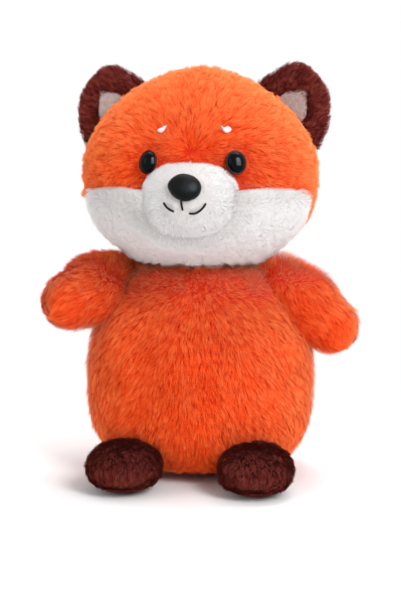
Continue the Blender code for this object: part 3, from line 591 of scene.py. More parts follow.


def pile_tree():
    tree, inputs = new_tree(
        "plush pile", [(name, "Float") for name in PILE_SETTINGS] + [("Seed", "Int"), ("Material", "Material")],
    )

    def draw(step, low=0.0, high=1.0):
        """A number for each blade, drawn with the seed that lies a step above the tree's."""
        return random_between(tree, low, high, inputs["Seed"] + float(step))

    points = out(add(
        tree, "GeometryNodeDistributePointsOnFaces",
        {"Mesh": inputs["Geometry"], "Density": inputs["Blades per square metre"], "Seed": inputs["Seed"]},
        distribute_method="RANDOM",
    ), "Points")
    normal = named(tree, "out", "FLOAT_VECTOR")
    position = out(add(tree, "GeometryNodeInputPosition"))
    flat, tuft = nap_at_points(tree, inputs, normal, position)

    # How steeply a blade stands, where strays stand up out of the rest
    stray = math(tree, "LESS_THAN", draw(7), inputs["Stray share"])
    chance = draw(2) ** 1.4 * (1 - TUFT_RISE) + out(tuft, 1) ** 1.6 * TUFT_RISE
    rise = inputs["Lowest rise"] + (inputs["Highest rise"] - inputs["Lowest rise"]) * chance
    rise = math(tree, "MINIMUM", rise + named(tree, "lift") + stray * draw(8, STRAY_RISE), STEEPEST_RISE)
    ahead = scaled(tree, flat, math(tree, "COSINE", rise))
    direction = vector_math(tree, "ADD", ahead, scaled(tree, normal, math(tree, "SINE", rise)))
    turn = laid_along(tree, direction, normal, "YZ", draw(3, inputs["Roll"] * -1.0, inputs["Roll"]))

    # Its length and width
    length = inputs["Pile length"] * draw(4, *LENGTHS) * (1.0 + (out(tuft, 0) - 0.5) * inputs["Unevenness"])
    length = length * named(tree, "pile") * (1.0 + stray * STRAY_LONGER)
    width = inputs["Blade width"] * draw(5, *WIDTHS) * (1.0 - stray * STRAY_THINNER)

    # Its shade, with painted light added: paler strays, and paler strands where the fabric faces
    # sideways or up, for the light from above and the glow at the outline
    aspect = split(tree, normal)
    sideways = math(tree, "ABSOLUTE", out(aspect, 0)) ** 2.0 * SIDE_PAINTED_LIGHT
    skyward = math(tree, "MAXIMUM", out(aspect, 2), 0.0) ** 1.5
    strand = out(tuft, 0) * TUFT_SHADE + draw(6) * (1 - TUFT_SHADE) + stray * STRAY_PAINTED_GLOW
    strand = strand + math(tree, "MINIMUM", sideways + skyward, 1.0) * inputs["Painted light"]

    points = stored(tree, points, "strand", strand)
    points = stored(tree, points, "blade", out(add(tree, "GeometryNodeInputIndex")) + 1.0, "INT")
    blades = copies(tree, points, blade_of_pile(tree), turn, joined(tree, width, length, length))
    both = add(tree, "GeometryNodeJoinGeometry")
    put(tree, both.inputs[0], blades)
    put(tree, both.inputs[0], inputs["Geometry"])
    return finished(tree, softly_shaded(tree, out(both), inputs["Softness"]), inputs["Material"])


PILE_TREE = pile_tree()
print("pile tree:", len(PILE_TREE.nodes), "nodes")

# %% [markdown]
# ## From a sheet to a plush piece
# A sheet is the fabric's backing. It lies a little under the surface of its solid, because the pile stands on
# it. Each corner of the sheet also carries the nap there and how long the pile is, which is how a maker brushes
# and trims a toy. After the pile is planted, every blade gets its own spot in the piece's UV map, so that a
# baked picture can hold each blade's colour.

# %% Hollows that other pieces press into the fabric
LEAST_SIZE = 0.05  # keeps a division away from nought


def unit(vectors):
    return vectors / np.maximum(np.linalg.norm(vectors, axis=-1, keepdims=True), 1e-9)


def cup(middle, radius, inward):
    """A hollow for a ball: the points that the ball would cover move one way to its far side."""
    middle, inward = np.array(middle, float), np.array(inward, float) / np.linalg.norm(inward)

    def hollow(points):
        arm = points - middle
        gap = radius**2 - (arm**2).sum(-1, keepdims=True)
        ahead = (arm @ inward)[..., None]
        way = np.sqrt(np.maximum(ahead**2 + gap, 0)) - ahead
        return np.where(gap > 0, points + way * inward, points)

    return hollow


def tube(start, end, radius):
    """A hollow round a line: the points nearer to it than a radius move away from it."""
    start, way = np.array(start, float), np.array(end, float) - np.array(start, float)

    def hollow(points):
        share = np.clip((points - start) @ way / (way @ way), 0, 1)
        foot = start + share[..., None] * way
        arm = points - foot
        size = np.linalg.norm(arm, axis=-1, keepdims=True) / radius
        return np.where(size < 1, foot + arm / np.maximum(size, LEAST_SIZE), points)

    return hollow


# %% A sheet of fabric
UV_MAP = "OFBake"
SHEET_STRIP = 0.05  # of the UV map's height, kept for the backing
STRIP_USED = 0.9  # of the strip, so that the backing stays clear of the blades


def merged(shape, distance):
    """Merges the corners that lie within a distance, and turns the faces the same way round."""
    bmesh.ops.remove_doubles(shape, verts=shape.verts, dist=distance)
    bmesh.ops.recalc_face_normals(shape, faces=shape.faces)
    return shape


def sheet(form, turns, columns, low, high, rows, inset, hollows=()):
    """The backing of a panel between two turns and two limits, each a row or a function from turn to row."""
    turn = np.linspace(*turns, columns + 1)
    low, high = (np.array([limit(t) if callable(limit) else limit for t in turn])[:, None] for limit in (low, high))
    row = low + (high - low) * np.linspace(0, 1, rows + 1)
    depth = inset(turn[:, None], row) if callable(inset) else inset
    points = surface(form, turn[:, None], row, depth)
    for hollow in hollows:
        points = hollow(points)
    shape = bmesh.new()
    uv = shape.loops.layers.uv.new(UV_MAP)
    corners = [[shape.verts.new(p) for p in line] for line in points]
    for i in range(columns):
        for k in range(rows):
            spots = ((i, k), (i + 1, k), (i + 1, k + 1), (i, k + 1))
            face = shape.faces.new([corners[a][b] for a, b in spots])
            for loop, (a, b) in zip(face.loops, spots):
                loop[uv].uv = (a / columns, b / rows * SHEET_STRIP * STRIP_USED)
    return merged(shape, 0.02 * MM)


def faced_outward(shape, middle):
    """Turns a sheet round if its faces look toward the middle of its body."""
    total = sum((f.calc_center_median() - middle).dot(f.normal) * f.calc_area() for f in shape.faces)
    if total < 0:
        bmesh.ops.reverse_faces(shape, faces=shape.faces)


def as_object(name, shape):
    """A new object at the scene's origin with a finished shape as its mesh."""
    mesh = bpy.data.meshes.new(name)
    shape.to_mesh(mesh)
    shape.free()
    mesh.shade_smooth()
    made = bpy.data.objects.new(name, mesh)
    bpy.context.scene.collection.objects.link(made)
    return made


# %% Brushing a sheet
def read(items, key, size=1, kind=np.float32):
    """One property of all the items in a mesh's list."""
    values = np.empty(len(items) * size, kind)
    items.foreach_get(key, values)
    return values.reshape(-1, size) if size > 1 else values


def brush(obj, nap, trim=None, lift=None, facing=None):
    """Stores at each corner the nap, laid flat, the share of the full pile length, a lift, and how light meets it."""
    points, normals = (read(obj.data.vertices, key, 3).astype(float) for key in ("co", "normal"))
    wanted = nap(points)
    wanted = unit(wanted - normals * (wanted * normals).sum(1, keepdims=True))
    shaded = facing(points, normals) if facing else normals
    for name, values in (("nap", wanted), ("out", normals), ("facing", shaded)):
        obj.data.attributes.new(name, "FLOAT_VECTOR", "POINT").data.foreach_set("vector", values.ravel())
    for name, given, default in (("pile", trim, 1.0), ("lift", lift, 0.0)):
        values = given(points) if given else np.full(len(points), default)
        obj.data.attributes.new(name, "FLOAT", "POINT").data.foreach_set("value", values)


# %% Plant the pile and give each blade its spot in the UV map
class Pile(NamedTuple):
    """A kind of pile, with its fields in the order of the tree's inputs."""

    length: float
    width: float = 0.31 * MM
    rises: tuple = (radians(8), radians(66))  # of the flattest and the steepest blades
    roll: float = radians(34)  # either way, about the blade's own line
    scatter: float = 0.22
    swirl_size: float = 16 * MM
    swirl: float = 0.34
    tuft_size: float = 2.6 * MM
    tuft_pull: float = 0.8  # toward the tuft's middle
    unevenness: float = 0.4  # of the length, from tuft to tuft
    strays: float = 0.28
    softness: float = 0.86  # the share of the light that a blade takes as its neighbours do
    painted_light: float = 0.0  # painted light on strands that face sideways or up, for top light and outline glow


SPOT_EDGES = (0.2, 0.1)  # of a blade's spot in the UV map, left empty at each side and each end


def spots_for_blades(mesh):
    """Lays the blades out in rows over the UV map, above the strip that holds the backing."""
    blade = read(mesh.attributes["blade"].data, "value", kind=np.int32)
    across, along = (read(mesh.attributes[key].data, "value") for key in ("across", "along"))
    corner = read(mesh.loops, "vertex_index", kind=np.int32)
    uv = read(mesh.uv_layers[UV_MAP].uv, "vector", 2)
    number = blade[corner]
    side = ceil(sqrt(blade.max()))
    line, column = np.divmod(number - 1, side)
    u = (column + SPOT_EDGES[0] + (1 - 2 * SPOT_EDGES[0]) * across[corner]) / side
    v = SHEET_STRIP + (1 - SHEET_STRIP) * (line + SPOT_EDGES[1] + (1 - 2 * SPOT_EDGES[1]) * along[corner]) / side
    uv = np.where(number[:, None] > 0, np.stack([u, v], -1), uv).astype(np.float32)
    mesh.uv_layers[UV_MAP].uv.foreach_set("vector", uv.ravel())
    return int(blade.max())


def plush(obj, blades, pile, material, seed, lowest=0.0):
    """Plants a number of blades on a sheet and turns the result into a plain mesh."""
    area = sum(face.area for face in obj.data.polygons)
    values = (blades / area, pile.length, pile.width, *pile.rises, *pile[3:])
    mesh = run_tree(obj, PILE_TREE, {**dict(zip(PILE_SETTINGS, values)), "Seed": seed, "Material": material})
    count = spots_for_blades(mesh)
    if lowest:
        points = read(mesh.vertices, "co", 3)
        points[:, 2] = np.maximum(points[:, 2], lowest)
        mesh.vertices.foreach_set("co", points.ravel())
    for name in ("nap", "out", "facing", "pile", "lift", "blade", "across"):
        mesh.attributes.remove(mesh.attributes[name])
    print(f"{obj.name}: {count} blades on {area * 1e6:.0f} mm2, {len(mesh.polygons)} faces")
    return obj


# %% [markdown]
# ## Finishes
# Plush fibre is dull and slightly translucent, so it glows a little at the outline. A Principled shader with
# sheen gives that. The colour runs from a painted deep shade at the backing, where little light comes, to the full
# colour and a pale tip, and it differs from strand to strand. The pale tip is partly the fibre's own colour and
# partly painted light for the glow at the outline, and the strays are painted paler for it too. In the long pile
# the strands that face sideways or up are painted paler, for the light from above and at the outline. Nothing
# here is a picture: the blade's own attributes and a soft noise over the toy set every shade.

# %% The plush material
def linear(red, green, blue):
    """A colour written as on a screen, from 0 to 255, turned into the linear light that shaders use."""
    shares = [c / 255 for c in (red, green, blue)]
    return (*[c / 12.92 if c <= 0.04045 else ((c + 0.055) / 1.055) ** 2.4 for c in shares], 1)


def new_material(name):
    made = bpy.data.materials.new(name)
    made.use_nodes = True
    shader = made.node_tree.nodes["Principled BSDF"]
    return made, made.node_tree, shader


def ramp(tree, value, stops):
    """A colour for a value, blended between stops that each have a place and a colour."""
    node = add(tree, "ShaderNodeValToRGB", {"Fac": value})
    while len(node.color_ramp.elements) < len(stops):
        node.color_ramp.elements.new(0.5)
    for element, (place, colour) in zip(node.color_ramp.elements, stops):
        element.position = place
        element.color = colour
    return out(node)


def mixed(tree, blend, factor, a, b):
    inputs = {"Factor": factor, "A": a, "B": b}
    return out(add(tree, "ShaderNodeMix", inputs, data_type="RGBA", blend_type=blend), "Result")


def attribute(tree, name):
    """A number that the mesh carries from blade to blade."""
    return out(add(tree, "ShaderNodeAttribute", attribute_name=name), "Fac")


def noise(tree, place, scale, detail):
    return out(add(tree, "ShaderNodeTexNoise", {"Vector": place, "Scale": scale, "Detail": detail}))


PATCH_SCALE = 45.0  # of the noise, per metre
PLUSH_ROUGHNESS = 0.75


def plush_material(name, root, dark, middle, light, tip, tip_share, sheen, sheen_tint, patches=0.12,
                   specular=0.2, sheen_roughness=0.45):
    """Fibre with painted shade at its root and a tip paled partly by painted light, dark to light from strand to
    strand.
    """
    made, tree, shader = new_material(name)
    strand = ramp(tree, attribute(tree, "strand"), ((0.15, dark), (0.5, middle), (0.85, light)))
    # Painted shade: darker toward the root, where the pile shades itself; the backing takes the root's colour
    height = ramp(tree, attribute(tree, "along"), ((0.0, (0, 0, 0, 1)), (0.55, (1, 1, 1, 1))))
    colour = mixed(tree, "MIX", height, root, strand)
    # The pale tip is partly the fibre's own colour and partly painted light, for the glow at the outline
    end = out(add(
        tree, "ShaderNodeMapRange",
        {"Value": attribute(tree, "along"), "From Min": 0.7, "From Max": 1.0, "To Max": tip_share},
    ))
    colour = mixed(tree, "MIX", end, colour, tip)
    cloud = noise(tree, out(add(tree, "ShaderNodeTexCoord"), "Object"), PATCH_SCALE, 3.0)
    tone = ramp(tree, cloud, ((0.3, (*[1 - patches] * 3, 1)), (0.7, (*[1 + patches] * 3, 1))))
    set_inputs(tree, shader, {
        "Base Color": mixed(tree, "MULTIPLY", 1.0, colour, tone), "Roughness": PLUSH_ROUGHNESS,
        "Specular IOR Level": specular, "Sheen Weight": sheen, "Sheen Roughness": sheen_roughness,
        "Sheen Tint": sheen_tint,
    })
    return made


# Each finish: the root's painted shade, dark, middle and light strands, a pale tip that is partly painted light, its
# share, the sheen and its tint
ORANGE = plush_material(
    "orange_pile", linear(210, 36, 0), linear(244, 58, 0), linear(251, 76, 0), linear(255, 125, 62),
    linear(255, 174, 110), 0.62, 1.0, linear(255, 214, 172), patches=0.08, specular=0.06, sheen_roughness=0.34,
)
WHITE = plush_material(
    "white_pile", linear(210, 204, 201), linear(225, 222, 220), linear(231, 229, 228), linear(239, 238, 237),
    linear(239, 238, 237), 0.3, 0.15, linear(255, 250, 248), patches=0.02,
)
BROWN = plush_material(
    "brown_pile", linear(38, 4, 2), linear(74, 12, 8), linear(114, 33, 25), linear(168, 86, 74),
    linear(182, 104, 90), 0.45, 0.15, linear(215, 120, 100), specular=0.05,
)
LINING = plush_material(
    "lining_pile", linear(176, 146, 140), linear(210, 186, 180), linear(228, 210, 205), linear(240, 230, 226),
    linear(240, 232, 229), 0.4, 0.25, linear(235, 215, 210), patches=0.05,
)


# %% Gloss, satin, thread, fibre, cloth and plastic
def plain_material(name, colour, roughness, noise_scale, strength, sheen=0.0, specular=0.3, stretch=(1, 1, 1)):
    """A colour with a little variation and a fine bump, from noise in the object's own space."""
    made, tree, shader = new_material(name)
    place = out(add(tree, "ShaderNodeTexCoord"), "Object")
    grain = noise(tree, out(add(tree, "ShaderNodeMapping", {"Vector": place, "Scale": stretch})), noise_scale, 4.0)
    dark = (*[c * 0.8 for c in colour[:3]], 1)
    light = (*[min(c * 1.15, 1) for c in colour[:3]], 1)
    set_inputs(tree, shader, {
        "Base Color": ramp(tree, grain, ((0.3, dark), (0.7, light))), "Roughness": roughness,
        "Normal": out(add(tree, "ShaderNodeBump", {"Strength": strength, "Distance": 0.3 * MM, "Height": grain})),
        "Sheen Weight": sheen, "Specular IOR Level": specular,
    })
    return made


EYE_BLACK = plain_material("eye_black", linear(6, 7, 9), 0.10, 300, 0.02, specular=0.07)
EYE_RIM = plain_material("eye_rim", linear(34, 14, 10), 0.25, 400, 0.05, specular=0.08)
NOSE_SATIN = plain_material("nose_satin", linear(12, 13, 15), 0.36, 900, 0.7, specular=0.07, stretch=(3, 3, 0.35))
THREAD = plain_material("black_thread", linear(16, 16, 20), 0.6, 2500, 0.4, specular=0.1)
BROW_SATIN = plain_material("brow_satin", linear(218, 204, 207), 0.6, 2200, 0.5, stretch=(0.4, 1, 3))
FIBRE = plain_material("stuffing_fibre", linear(228, 228, 225), 0.95, 600, 0.8, sheen=0.3)
BAG_CLOTH = plain_material("pellet_bag_cloth", linear(200, 200, 196), 0.9, 1500, 0.6)
WASHER = plain_material("washer_plastic", linear(216, 216, 213), 0.4, 800, 0.1)
FINISHES = {"orange_plush": ORANGE, "white_plush": WHITE, "brown_plush": BROWN, "ear_lining": LINING}
print(len(bpy.data.materials), "materials")

# %% [markdown]
# ## Nap and trim
# The nap of a plush toy isn't random. On the head it runs away from the brow, up over the crown and out over the
# cheeks. On the torso it runs down and outward, on a limb from its root to its tip. The pile is trimmed short
# round the eyes, on the snout and along the mouth, or it would hide them.

# %% Directions of the nap
PILE_DEPTH = 2.4 * MM  # of the long plush's backing under the surface of the solids
SHORT_DEPTH = 1.7 * MM  # of the short plush's backing
FLOOR_CLEARANCE = 0.2 * MM


def away_from(centre, pull=(0, 0, 0)):
    """A nap that runs away from a point, with a steady pull added."""
    return lambda points: unit(points - np.array(centre, float)) + np.array(pull)


def limb_line(form):
    """The place of a limb's root and the direction of its tip."""
    return np.array(form.place.translation), np.array(form.place.col[2][:3])


def along_limb(form, spin=0.0):
    """A nap that runs from a limb's root to its tip, wound a little round the limb."""
    origin, axis = limb_line(form)
    return lambda points: axis + spin * unit(np.cross(axis, points - origin))


def smooth(t):
    """Nought below zero and one above one, with a soft rise between."""
    t = np.clip(t, 0, 1)
    return t * t * (3 - 2 * t)


def bell(value, middle, width):
    """One at the middle, falling softly to nought on both sides of it."""
    return np.exp(-(((value - middle) / width) ** 2))


def toward_front(normals, share, rise=0.1):
    """The fabric's directions, turned by a share to the front, from where the light then meets the pile."""
    return unit(normals * (1 - share[:, None]) + np.array((0, -1, rise)) * share[:, None])


def near(points, centre, radius, share):
    """A share of the pile length within a radius of a point, growing back to full at twice the radius."""
    distance = np.linalg.norm(points - np.array(centre), axis=1)
    return share + (1 - share) * smooth(distance / radius - 1)


# %% One plush piece from start to end
def placed(made, body, nodes):
    """Hangs a finished piece on its body, in place of its solids."""
    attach(made, body)
    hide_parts(*nodes)
    return made


def panel(name, form, turns, columns, rows, nap, pile, blades, finish, body, nodes, seed, trim=None, lift=None,
          facing=None, low=0.0, high=1.0, depth=PILE_DEPTH, hollows=(), lowest=0.0):
    """A sheet, its pile, and its place in the frame."""
    shape = sheet(form, turns, columns, low, high, rows, depth, hollows)
    middle = form.place @ Vector((0, 0, float(np.max(form.profile(np.array(0.5), 0.0)[2]))))
    faced_outward(shape, middle)
    for corner in shape.verts:
        corner.co.z = max(corner.co.z, lowest)
    made = as_object(name, shape)
    brush(made, nap, trim, lift, facing)
    plush(made, blades, pile, FINISHES[finish], seed, lowest)
    return placed(made, body, nodes)


# %% The places of the seams, eyes, brows, nose and mouth
FACE_SIDE_TURN = radians(74)
CHEEK_SEAM_HEIGHT = 42.0 * MM
CHEEK_SEAM_FALL = 6.0 * MM
CHEEK_SEAM = HEAD_LOW + CHEEK_SEAM_HEIGHT
FACE_TURN = radians(1.0)  # of the eyes and brows, toward the fox's left
EYE_TURN = radians(18.8)
EYE_ROW = head_row(56.0 * MM)
BROW_TURN = radians(15.0)
BROW_ROW = head_row(72.2 * MM)
NOSE_RISE = radians(22)
eye_turns = {name: side * EYE_TURN + FACE_TURN for name, side in SIDES}
brow_turns = {name: side * BROW_TURN + FACE_TURN for name, side in SIDES}
eyes = {name: point_on(HEAD, turn, EYE_ROW) for name, turn in eye_turns.items()}
brows = {name: point_on(HEAD, turn, BROW_ROW) for name, turn in brow_turns.items()}
nose_seat = MUZZLE.place @ Vector((0, MUZZLE_HALF_HEIGHT * sin(NOSE_RISE), MUZZLE_HALF_DEPTH * cos(NOSE_RISE)))


def on_snout(x, y, lift=0.0):
    """The point of the snout's surface at a place seen from the front, from the snout's middle."""
    reach = abs(x / MUZZLE_HALF_WIDTH) ** MUZZLE_FULLNESS + abs(y / MUZZLE_HALF_HEIGHT) ** MUZZLE_FULLNESS
    ahead = MUZZLE_HALF_DEPTH * max(1 - reach, 0) ** (1 / MUZZLE_FULLNESS) + lift
    return MUZZLE.place @ Vector((x, y, ahead))


MOUTH_MM = (  # seen from the front, from the snout's middle
    ((-2.2, 2.0), (-2.1, -0.3), (-1.6, -3.0)),
    ((-10.6, -0.6), (-9.6, -2.0), (-8.0, -3.3), (-6.4, -4.0)),
    ((2.2, -5.1), (4.2, -5.1), (6.4, -4.0), (8.3, -2.2), (9.2, -0.8)),
)
LIPS_MM = ((-5.6, -1.2), (2.4, -1.0))
mouth = [[on_snout(x * MM, y * MM, -0.2 * MM) for x, y in line] for line in MOUTH_MM]
print("eyes at", [round(v, 4) for v in eyes["left"]], "nose at", [round(v, 4) for v in nose_seat])


# %% Trim round the eyes, the snout and the mouth
def in_front(points):
    """One on the face and zero behind the cheeks."""
    return smooth((2 * MM - points[:, 1]) / (10 * MM))


def snout_reach(points):
    """How far points lie from the snout's middle, seen from the front, where its outline is at one."""
    across = (points[..., 0] - MUZZLE_MIDDLE.x) / MUZZLE_HALF_WIDTH
    up = (points[..., 2] - MUZZLE_MIDDLE.z) / MUZZLE_HALF_HEIGHT
    return np.hypot(across, up)


def face_trim(points):
    """Shorter pile round the eyes, over the brows, round the snout and above the cheeks' seam."""
    share = np.ones(len(points))
    for eye in eyes.values():
        share = np.minimum(share, near(points, eye, 6.6 * MM, 0.38))
    for brow in brows.values():
        share = np.minimum(share, near(points, brow, 1.8 * MM, 0.45))
    round_snout = bell(snout_reach(points), 1.05, 0.2) * (points[:, 1] < 0)
    above_seam = bell(points[:, 2], CHEEK_SEAM, 5 * MM) * (points[:, 2] > CHEEK_SEAM - 1 * MM)
    return share * (1 - 0.55 * round_snout) * (1 - 0.5 * above_seam * in_front(points))


def snout_trim(points):
    """Close to the nose and mouth the pile is cut down, and toward the cheeks it grows to full length."""
    top_rim = snout_rim(points) * smooth((points[:, 2] - MUZZLE_MIDDLE.z) / (12 * MM))
    share = near(points, nose_seat, 10 * MM, 0.36) * (1 + 0.35 * top_rim)
    for line in mouth:
        for spot in line:
            share = np.minimum(share, near(points, spot, 2.6 * MM, 0.24))
    return share


# %% [markdown]
# ## The torso
# Three standing panels and a base. The seams are hidden by the pile, and only a slight parting of the nap shows
# where they run. The base is trimmed short, because the toy rests on it. Where an arm or the tail is sewn on,
# the fabric is drawn in round its root.

# %% How the torso is hollowed, brushed and trimmed
torso_seam = radians(62)
long_pile = Pile(9.2 * MM, painted_light=0.35)
shoulders = {name: Vector(joints[name + "_arm_lift"]["pos_m"]) for name, _ in SIDES}
tail_root = Vector(joints["tail_droop"]["pos_m"])
NECK = Vector(joints["head_turn"]["pos_m"])
ARM_SOCKET = 14.7 * MM
TAIL_SOCKET = 9.2 * MM
NECK_SOCKET = 16.2 * MM


def into(point):
    """The direction from a root on the torso into it."""
    return (-point.x, -point.y, 0)


torso_hollows = [cup(middle, ARM_SOCKET, into(middle)) for middle in shoulders.values()]
torso_hollows += [cup(tail_root, TAIL_SOCKET, into(tail_root)), cup(NECK, NECK_SOCKET, (0, 0, -1))]


def shoulder_fabric(points):
    """The torso's top, drawn up a little round the neck, most of all in front, where the head rests on it."""
    beside = smooth((np.hypot(points[..., 0], points[..., 1]) - 14 * MM) / (8 * MM))
    ahead = smooth(-points[..., 1] / (20 * MM))
    rise = (2.7 + 1.1 * ahead) * MM * smooth((points[..., 2] - 92 * MM) / (12 * MM)) * beside
    return points + np.array((0, 0, 1)) * rise[..., None]


def torso_nap(points):
    """Down and outward from the breast, level where the fabric turns under the toy."""
    side = points[:, 0] / TORSO_HALF_WIDTH
    height = points[:, 2] / TORSO_HEIGHT
    nap = unit(points * (1, 1, 0)) * 0.35
    nap[:, 0] += side * 0.9
    nap[:, 2] = -1.15 * smooth(height / 0.12) + 0.05
    return nap


def cup_trim(points, middle, radius):
    """Hardly any pile in a cup, and the full length from a little way outside it."""
    distance = np.linalg.norm(points - np.array(middle), axis=1)
    return 0.12 + 0.88 * smooth((distance - radius - 0.4 * MM) / (2.5 * MM))


def torso_trim(points):
    """Shorter where the toy stands, and in the cups that the roots fill."""
    share = 0.45 + 0.55 * smooth(points[:, 2] / (9 * MM))
    high = 1.1 * smooth((points[:, 2] - 99 * MM) / (4 * MM))
    for middle in shoulders.values():
        share = np.minimum(share, np.maximum(cup_trim(points, middle, ARM_SOCKET), high))
    share = np.minimum(share, cup_trim(points, tail_root, TAIL_SOCKET))
    return np.minimum(share, cup_trim(points, NECK, NECK_SOCKET))


def torso_lift(points):
    """The pile stands up on the shoulders, where the head presses it outward."""
    aside = np.maximum(smooth((np.abs(points[:, 0]) - 18 * MM) / (12 * MM)), 0.4)
    return 1.1 * aside * smooth((points[:, 2] / TORSO_HEIGHT - 0.84) / 0.1)


def torso_facing(points, normals):
    """Under the head, the light meets the torso's top as it meets its front."""
    return toward_front(normals, 0.6 * smooth((points[:, 2] - 86 * MM) / (14 * MM)) * (points[:, 1] < 0), 0.2)


def torso_depth(turn, row):
    """Nearer to the surface at the top, where the head presses on the torso."""
    return PILE_DEPTH - 0.7 * MM - 0.9 * MM * smooth((row - 0.80) / 0.15) + 0 * turn


# %% Torso panels
torso_panels = (
    ("belly_panel", (-torso_seam, torso_seam), 60, 62000, "torso_front_panel", 11),
    ("back_panel_left", (torso_seam, pi), 50, 46000, "torso_back_panel_left", 12),
    ("back_panel_right", (pi, 2 * pi - torso_seam), 50, 46000, "torso_back_panel_right", 13),
)
for name, turns, columns, blades, node, seed in torso_panels:
    panel(
        name, TORSO, turns, columns, 60, torso_nap, long_pile, blades, "orange_plush", "torso", [node], seed,
        trim=torso_trim, lift=torso_lift, facing=torso_facing, depth=torso_depth,
        hollows=[shoulder_fabric, *torso_hollows], lowest=FLOOR_CLEARANCE,
    )

# %% Base and neck
flat_pile = Pile(2.2 * MM, rises=(radians(1), radians(5)), roll=radians(4), tuft_pull=0.3)


def base_profile(row, inset):
    """A disc cut to the torso's lowest ring, from its rim at row zero to its middle at row one."""
    width, depth, _, _, back = torso_profile(np.zeros_like(np.asarray(row, float)), 0.8 * MM)
    return width * (1 - row), depth * (1 - row), 0.7 * MM + 0 * row, 0, back


panel(
    "base_panel", Form(Matrix(), base_profile, 2.1), (0, 2 * pi), 40, 12, away_from((0, 0.009, 0)), flat_pile, 5000,
    "orange_plush", "torso", ["torso_base_panel"], 14, lowest=FLOOR_CLEARANCE,
)
neck_form = Form(Matrix.Translation(NECK), rounded_profile(*[15.5 * MM] * 3, 2, 2), 2)
panel(
    "neck_gather", neck_form, (0, 2 * pi), 32, 20, away_from(NECK, (0, 0, -0.4)), Pile(3.5 * MM), 6000,
    "orange_plush", "neck", ["neck_wad"], 15, depth=SHORT_DEPTH,
)

# %% [markdown]
# ## The head
# The white face, the crown, two narrow cheek gussets and the back lie on one form. The nap runs away from the
# brow, so the orange falls over the upper edge of the white and the white hangs over the neck.

# %% How the head is swelled, brushed and trimmed
soft_pile = Pile(
    8.6 * MM, width=0.30 * MM, rises=(radians(6), radians(48)), swirl=0.2, tuft_pull=0.25, unevenness=0.12,
    strays=0.15, softness=0.95,
)
brow_middle = HEAD_MIDDLE + Vector((0, -HEAD_HALF_DEPTH * 0.9, 9 * MM))
crown_nap = away_from(brow_middle, (0, 0.1, 0))


def fringe(points):
    """How far a point lies toward the head's lower edge, where the pile hangs over the torso."""
    return smooth((HEAD_LOW + 12 * MM - points[:, 2]) / (7 * MM))


def underside(points):
    """One on the middle of the head's flat underside, which stays out of sight."""
    middle = smooth((27 * MM - np.abs(points[:, 0])) / (8 * MM))
    return middle * smooth((HEAD_LOW + 3.2 * MM - points[:, 2]) / (2 * MM))


def uneven_locks(points):
    """Locks of uneven length along the middle of the fringe, and long ones at its ends."""
    across = points[:, 0] / MM
    locks = 0.5 + 0.5 * np.sin(across / 1.2 + 2 * np.sin(across / 3.1) + 1.2 * np.sin(across / 7.9))
    middle = smooth((30 - np.abs(across)) / 6)
    return 1 - middle * (1 - locks)


def cheek_nap(points):
    """Away from the snout and down, but up and outward along the seams with the orange."""
    nap = unit(points - np.array(MUZZLE_MIDDLE + Vector((0, 0, 6 * MM))))
    high = smooth((points[:, 2] - CHEEK_SEAM + 9 * MM) / (7 * MM))
    nap[:, 2] += -0.35 + 1.5 * high
    hanging = unit(points * (1, 1, 0)) * 0.4 - (0, 0, 1)
    low = fringe(points)[:, None]
    return nap * (1 - low) + hanging * low


back_nap = away_from(HEAD_MIDDLE + Vector((0, 0, HEAD_HALF_HEIGHT)), (0, 0.3, -0.4))


def cheek_row(turn):
    share = min(abs(turn) / FACE_SIDE_TURN, 1.0)
    return head_row(CHEEK_SEAM_HEIGHT - CHEEK_SEAM_FALL * share**6)


def head_depth(turn, row):
    """Deeper under the chin, where the pile hangs down over the torso."""
    return PILE_DEPTH + 0.2 * MM * smooth((0.30 - row) / 0.12) + 0 * turn


def head_trim(points):
    share = face_trim(points) * (1 + fringe(points) * (0.6 * uneven_locks(points) - 0.15))
    return np.minimum(share * (1 - 0.65 * underside(points)), cup_trim(points, NECK, NECK_SOCKET) * 1.2)


def gusset_trim(points):
    """Short where the white of the face and the orange of the back fall over it, less so high on the left."""
    full = smooth((points[:, 2] - HEAD_LOW - 19 * MM) / (12 * MM)) * (points[:, 0] > 0)
    return 0.3 + 0.5 * full


def head_lift(points):
    """The pile stands up at the head's lower edge, and round the snout, whose seam it hides."""
    ring = bell(snout_reach(points), 1.12, 0.18) * (points[:, 1] < 0)
    ring = 0.5 * ring * (points[:, 2] < MUZZLE_MIDDLE.z + 10 * MM)
    seam = bell(points[:, 2], CHEEK_SEAM, 3.5 * MM)
    side = smooth((np.abs(points[:, 0]) - 46 * MM) / (8 * MM)) * smooth((HEAD_MIDDLE.z - points[:, 2]) / (8 * MM))
    hang = 0.7 * fringe(points) * (1 - underside(points))
    return np.minimum(hang + ring + (0.4 * seam + 0.3 * side) * in_front(points), 1.0)


def face_facing(points, normals):
    """Round the snout and at the fringe, the light meets the face's pile as it meets the snout's."""
    share = np.maximum(bell(snout_reach(points), 1.0, 0.3), fringe(points) * in_front(points))
    return toward_front(normals, 0.8 * share * (points[:, 1] < 0))


def snout_fillet(points):
    """The face swells toward the snout's sides and chin, so that the one runs softly into the other."""
    low = smooth((MUZZLE_MIDDLE.z + 9 * MM - points[..., 2]) / (8 * MM)) * (points[..., 1] < 0)
    swell = 10.5 * MM * low * bell(snout_reach(points), 0.98, 0.46)
    return points + np.array((0, -1, 0)) * swell[..., None]


